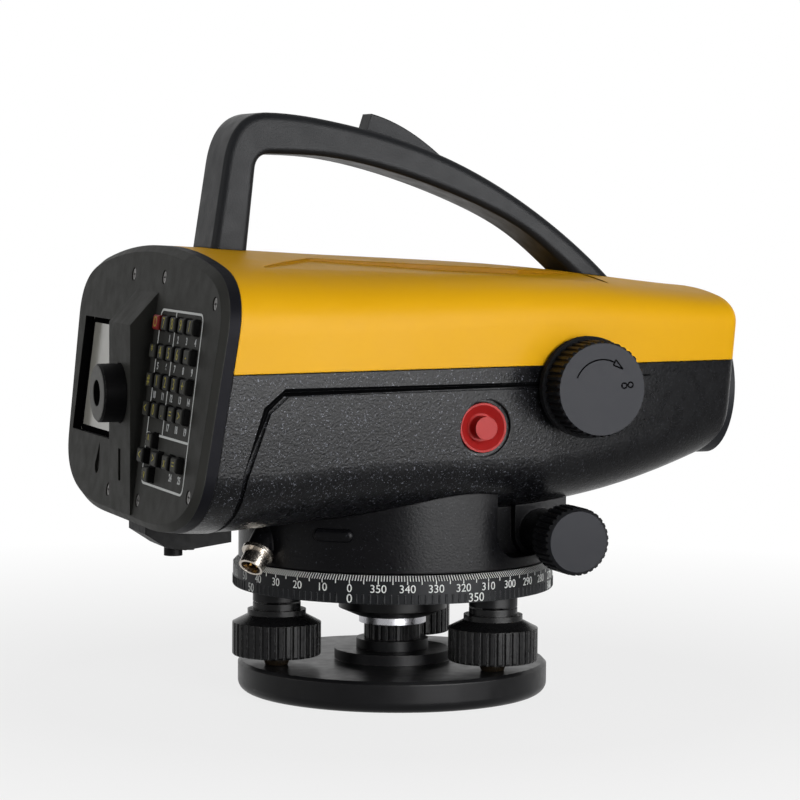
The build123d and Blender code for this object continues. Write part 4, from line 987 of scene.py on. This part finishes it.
def step_rows():
    """Places across the step's painted shade, row after row along the edge of the recess."""
    places = [Vector((x, z)) for x, z, _, _ in STEP_PATH]
    corners = []
    for i, (_, _, over, under) in enumerate(STEP_PATH):
        along = (places[min(i + 1, len(places) - 1)] - places[max(i - 1, 0)]).normalized()
        across = Vector((along.y, -along.x))
        reaches = (over, STEP_CORNER, -STEP_CORNER, -under)
        corners.append([places[i] + across * reach for reach in reaches])
    rows = []
    for row, next_row in zip(corners, corners[1:]):
        for i in range(STEP_PIECES):
            rows.append([here.lerp(there, i / STEP_PIECES) for here, there in zip(row, next_row)])
    return rows + [corners[-1]]


def add_dark_step(name, side):
    """Band of painted shade along the upper edge of the recess in one flank."""
    mesh = bmesh.new()
    rows = []
    for row in step_rows():
        points = [flank_point(x, z, side)[0] * MM for x, z in row]
        rows.append([mesh.verts.new(point) for point in points])
    bridge(mesh, rows)
    thicken(mesh, (0, side * PRINT_H, 0))
    piece(name, mesh, "alidade", dark_ink_and_shade)


# Studio
def add_floor():
    """Pale floor that keeps the shadow near the object and turns to plain white further off."""
    dark, light = ((grey, grey, grey, 1) for grey in FLOOR_GREYS)
    finish = Finish("floor", dark, light, patches=0.01, roughness=(0.8, 0.9))
    white = finish.add("Emission", {"Color": WHITE, "Strength": 1.0})
    reach = finish.add("VectorMath", {0: finish.places}, operation="LENGTH").outputs["Value"]
    near, far = (distance / MM for distance in FLOOR_FADE)
    share = finish.math("MULTIPLY", finish.seen(), finish.span(reach, near, far, FLOOR_SEEN, 1))
    inputs = {0: share, 1: finish.shader.outputs[0], 2: white.outputs[0]}
    mixed = finish.add("MixShader", inputs).outputs[0]
    finish.feed(finish.tree.nodes["Material Output"].inputs["Surface"], mixed)
    mesh = bmesh.new()
    bmesh.ops.create_grid(mesh, x_segments=FLOOR_CELLS, y_segments=FLOOR_CELLS, size=FLOOR_HALF)
    floor = mesh_object("floor", mesh, finish.done())


def add_world():
    """White to the eye; as a light it is dim, and dimmer from above than from the sides."""
    world = bpy.data.worlds.new("studio")
    world.use_nodes = True
    bpy.context.scene.world = world
    graph = Graph(world.node_tree)
    direction = graph.add("TexCoord").outputs["Generated"]
    height = graph.add("SeparateXYZ", {0: direction}).outputs["Z"]
    dim = graph.span(height, 0, 1, *AMBIENT)
    background = graph.tree.nodes["Background"]
    graph.feed(background.inputs["Color"], WHITE)
    graph.feed(background.inputs["Strength"], graph.span(graph.seen(), 0, 1, dim, 1))


def add_lamps():
    """Soft lamps round the object, out of the camera's sight."""
    for name, direction, distance, height, size, watts in LAMPS:
        light = bpy.data.lights.new(name, "AREA")
        light.energy = watts
        light.shape = "RECTANGLE"
        light.size, light.size_y = size
        lamp = bpy.data.objects.new(name, light)
        lamp.visible_camera = False
        lamp.visible_diffuse = name not in SHEEN_ONLY
        lamp.visible_glossy = name not in MATT_ONLY
        lamp.location = (*polar(distance, direction), height)
        aim = Vector(AIM) - lamp.location
        lamp.rotation_euler = aim.to_track_quat("-Z", "Y").to_euler()
        bpy.context.scene.collection.objects.link(lamp)


def add_camera():
    """Camera at the viewing angle of the photograph."""
    turn, tilt, roll = radians(CAMERA_TURN), radians(CAMERA_TILT), radians(CAMERA_ROLL)
    back = Vector((-sin(turn) * cos(tilt), -cos(turn) * cos(tilt), sin(tilt)))
    right = Vector((cos(turn), -sin(turn), 0))
    up = back.cross(right)
    place = Vector(CAMERA_TARGET) + back * CAMERA_DISTANCE
    camera = bpy.data.objects.new("camera", bpy.data.cameras.new("camera"))
    camera.data.lens = CAMERA_LENS
    camera.data.sensor_width = CAMERA_SENSOR
    camera.matrix_world = axes_matrix(
        right * cos(roll) + up * sin(roll), up * cos(roll) - right * sin(roll), place
    )
    bpy.context.scene.collection.objects.link(camera)
    bpy.context.scene.camera = camera


add_drum_boss()
add_index_mark()
add_dark_step("step_shade_near", -1)
add_dark_step("step_shade_far", 1)
add_key_marks()
add_keypad_print()
add_screen_border()
add_graduation()
add_knurl()
add_focus_marks()
add_socket_contacts()
add_floor()
add_world()
add_lamps()
add_camera()
bpy.context.scene.view_settings.view_transform = "Standard"
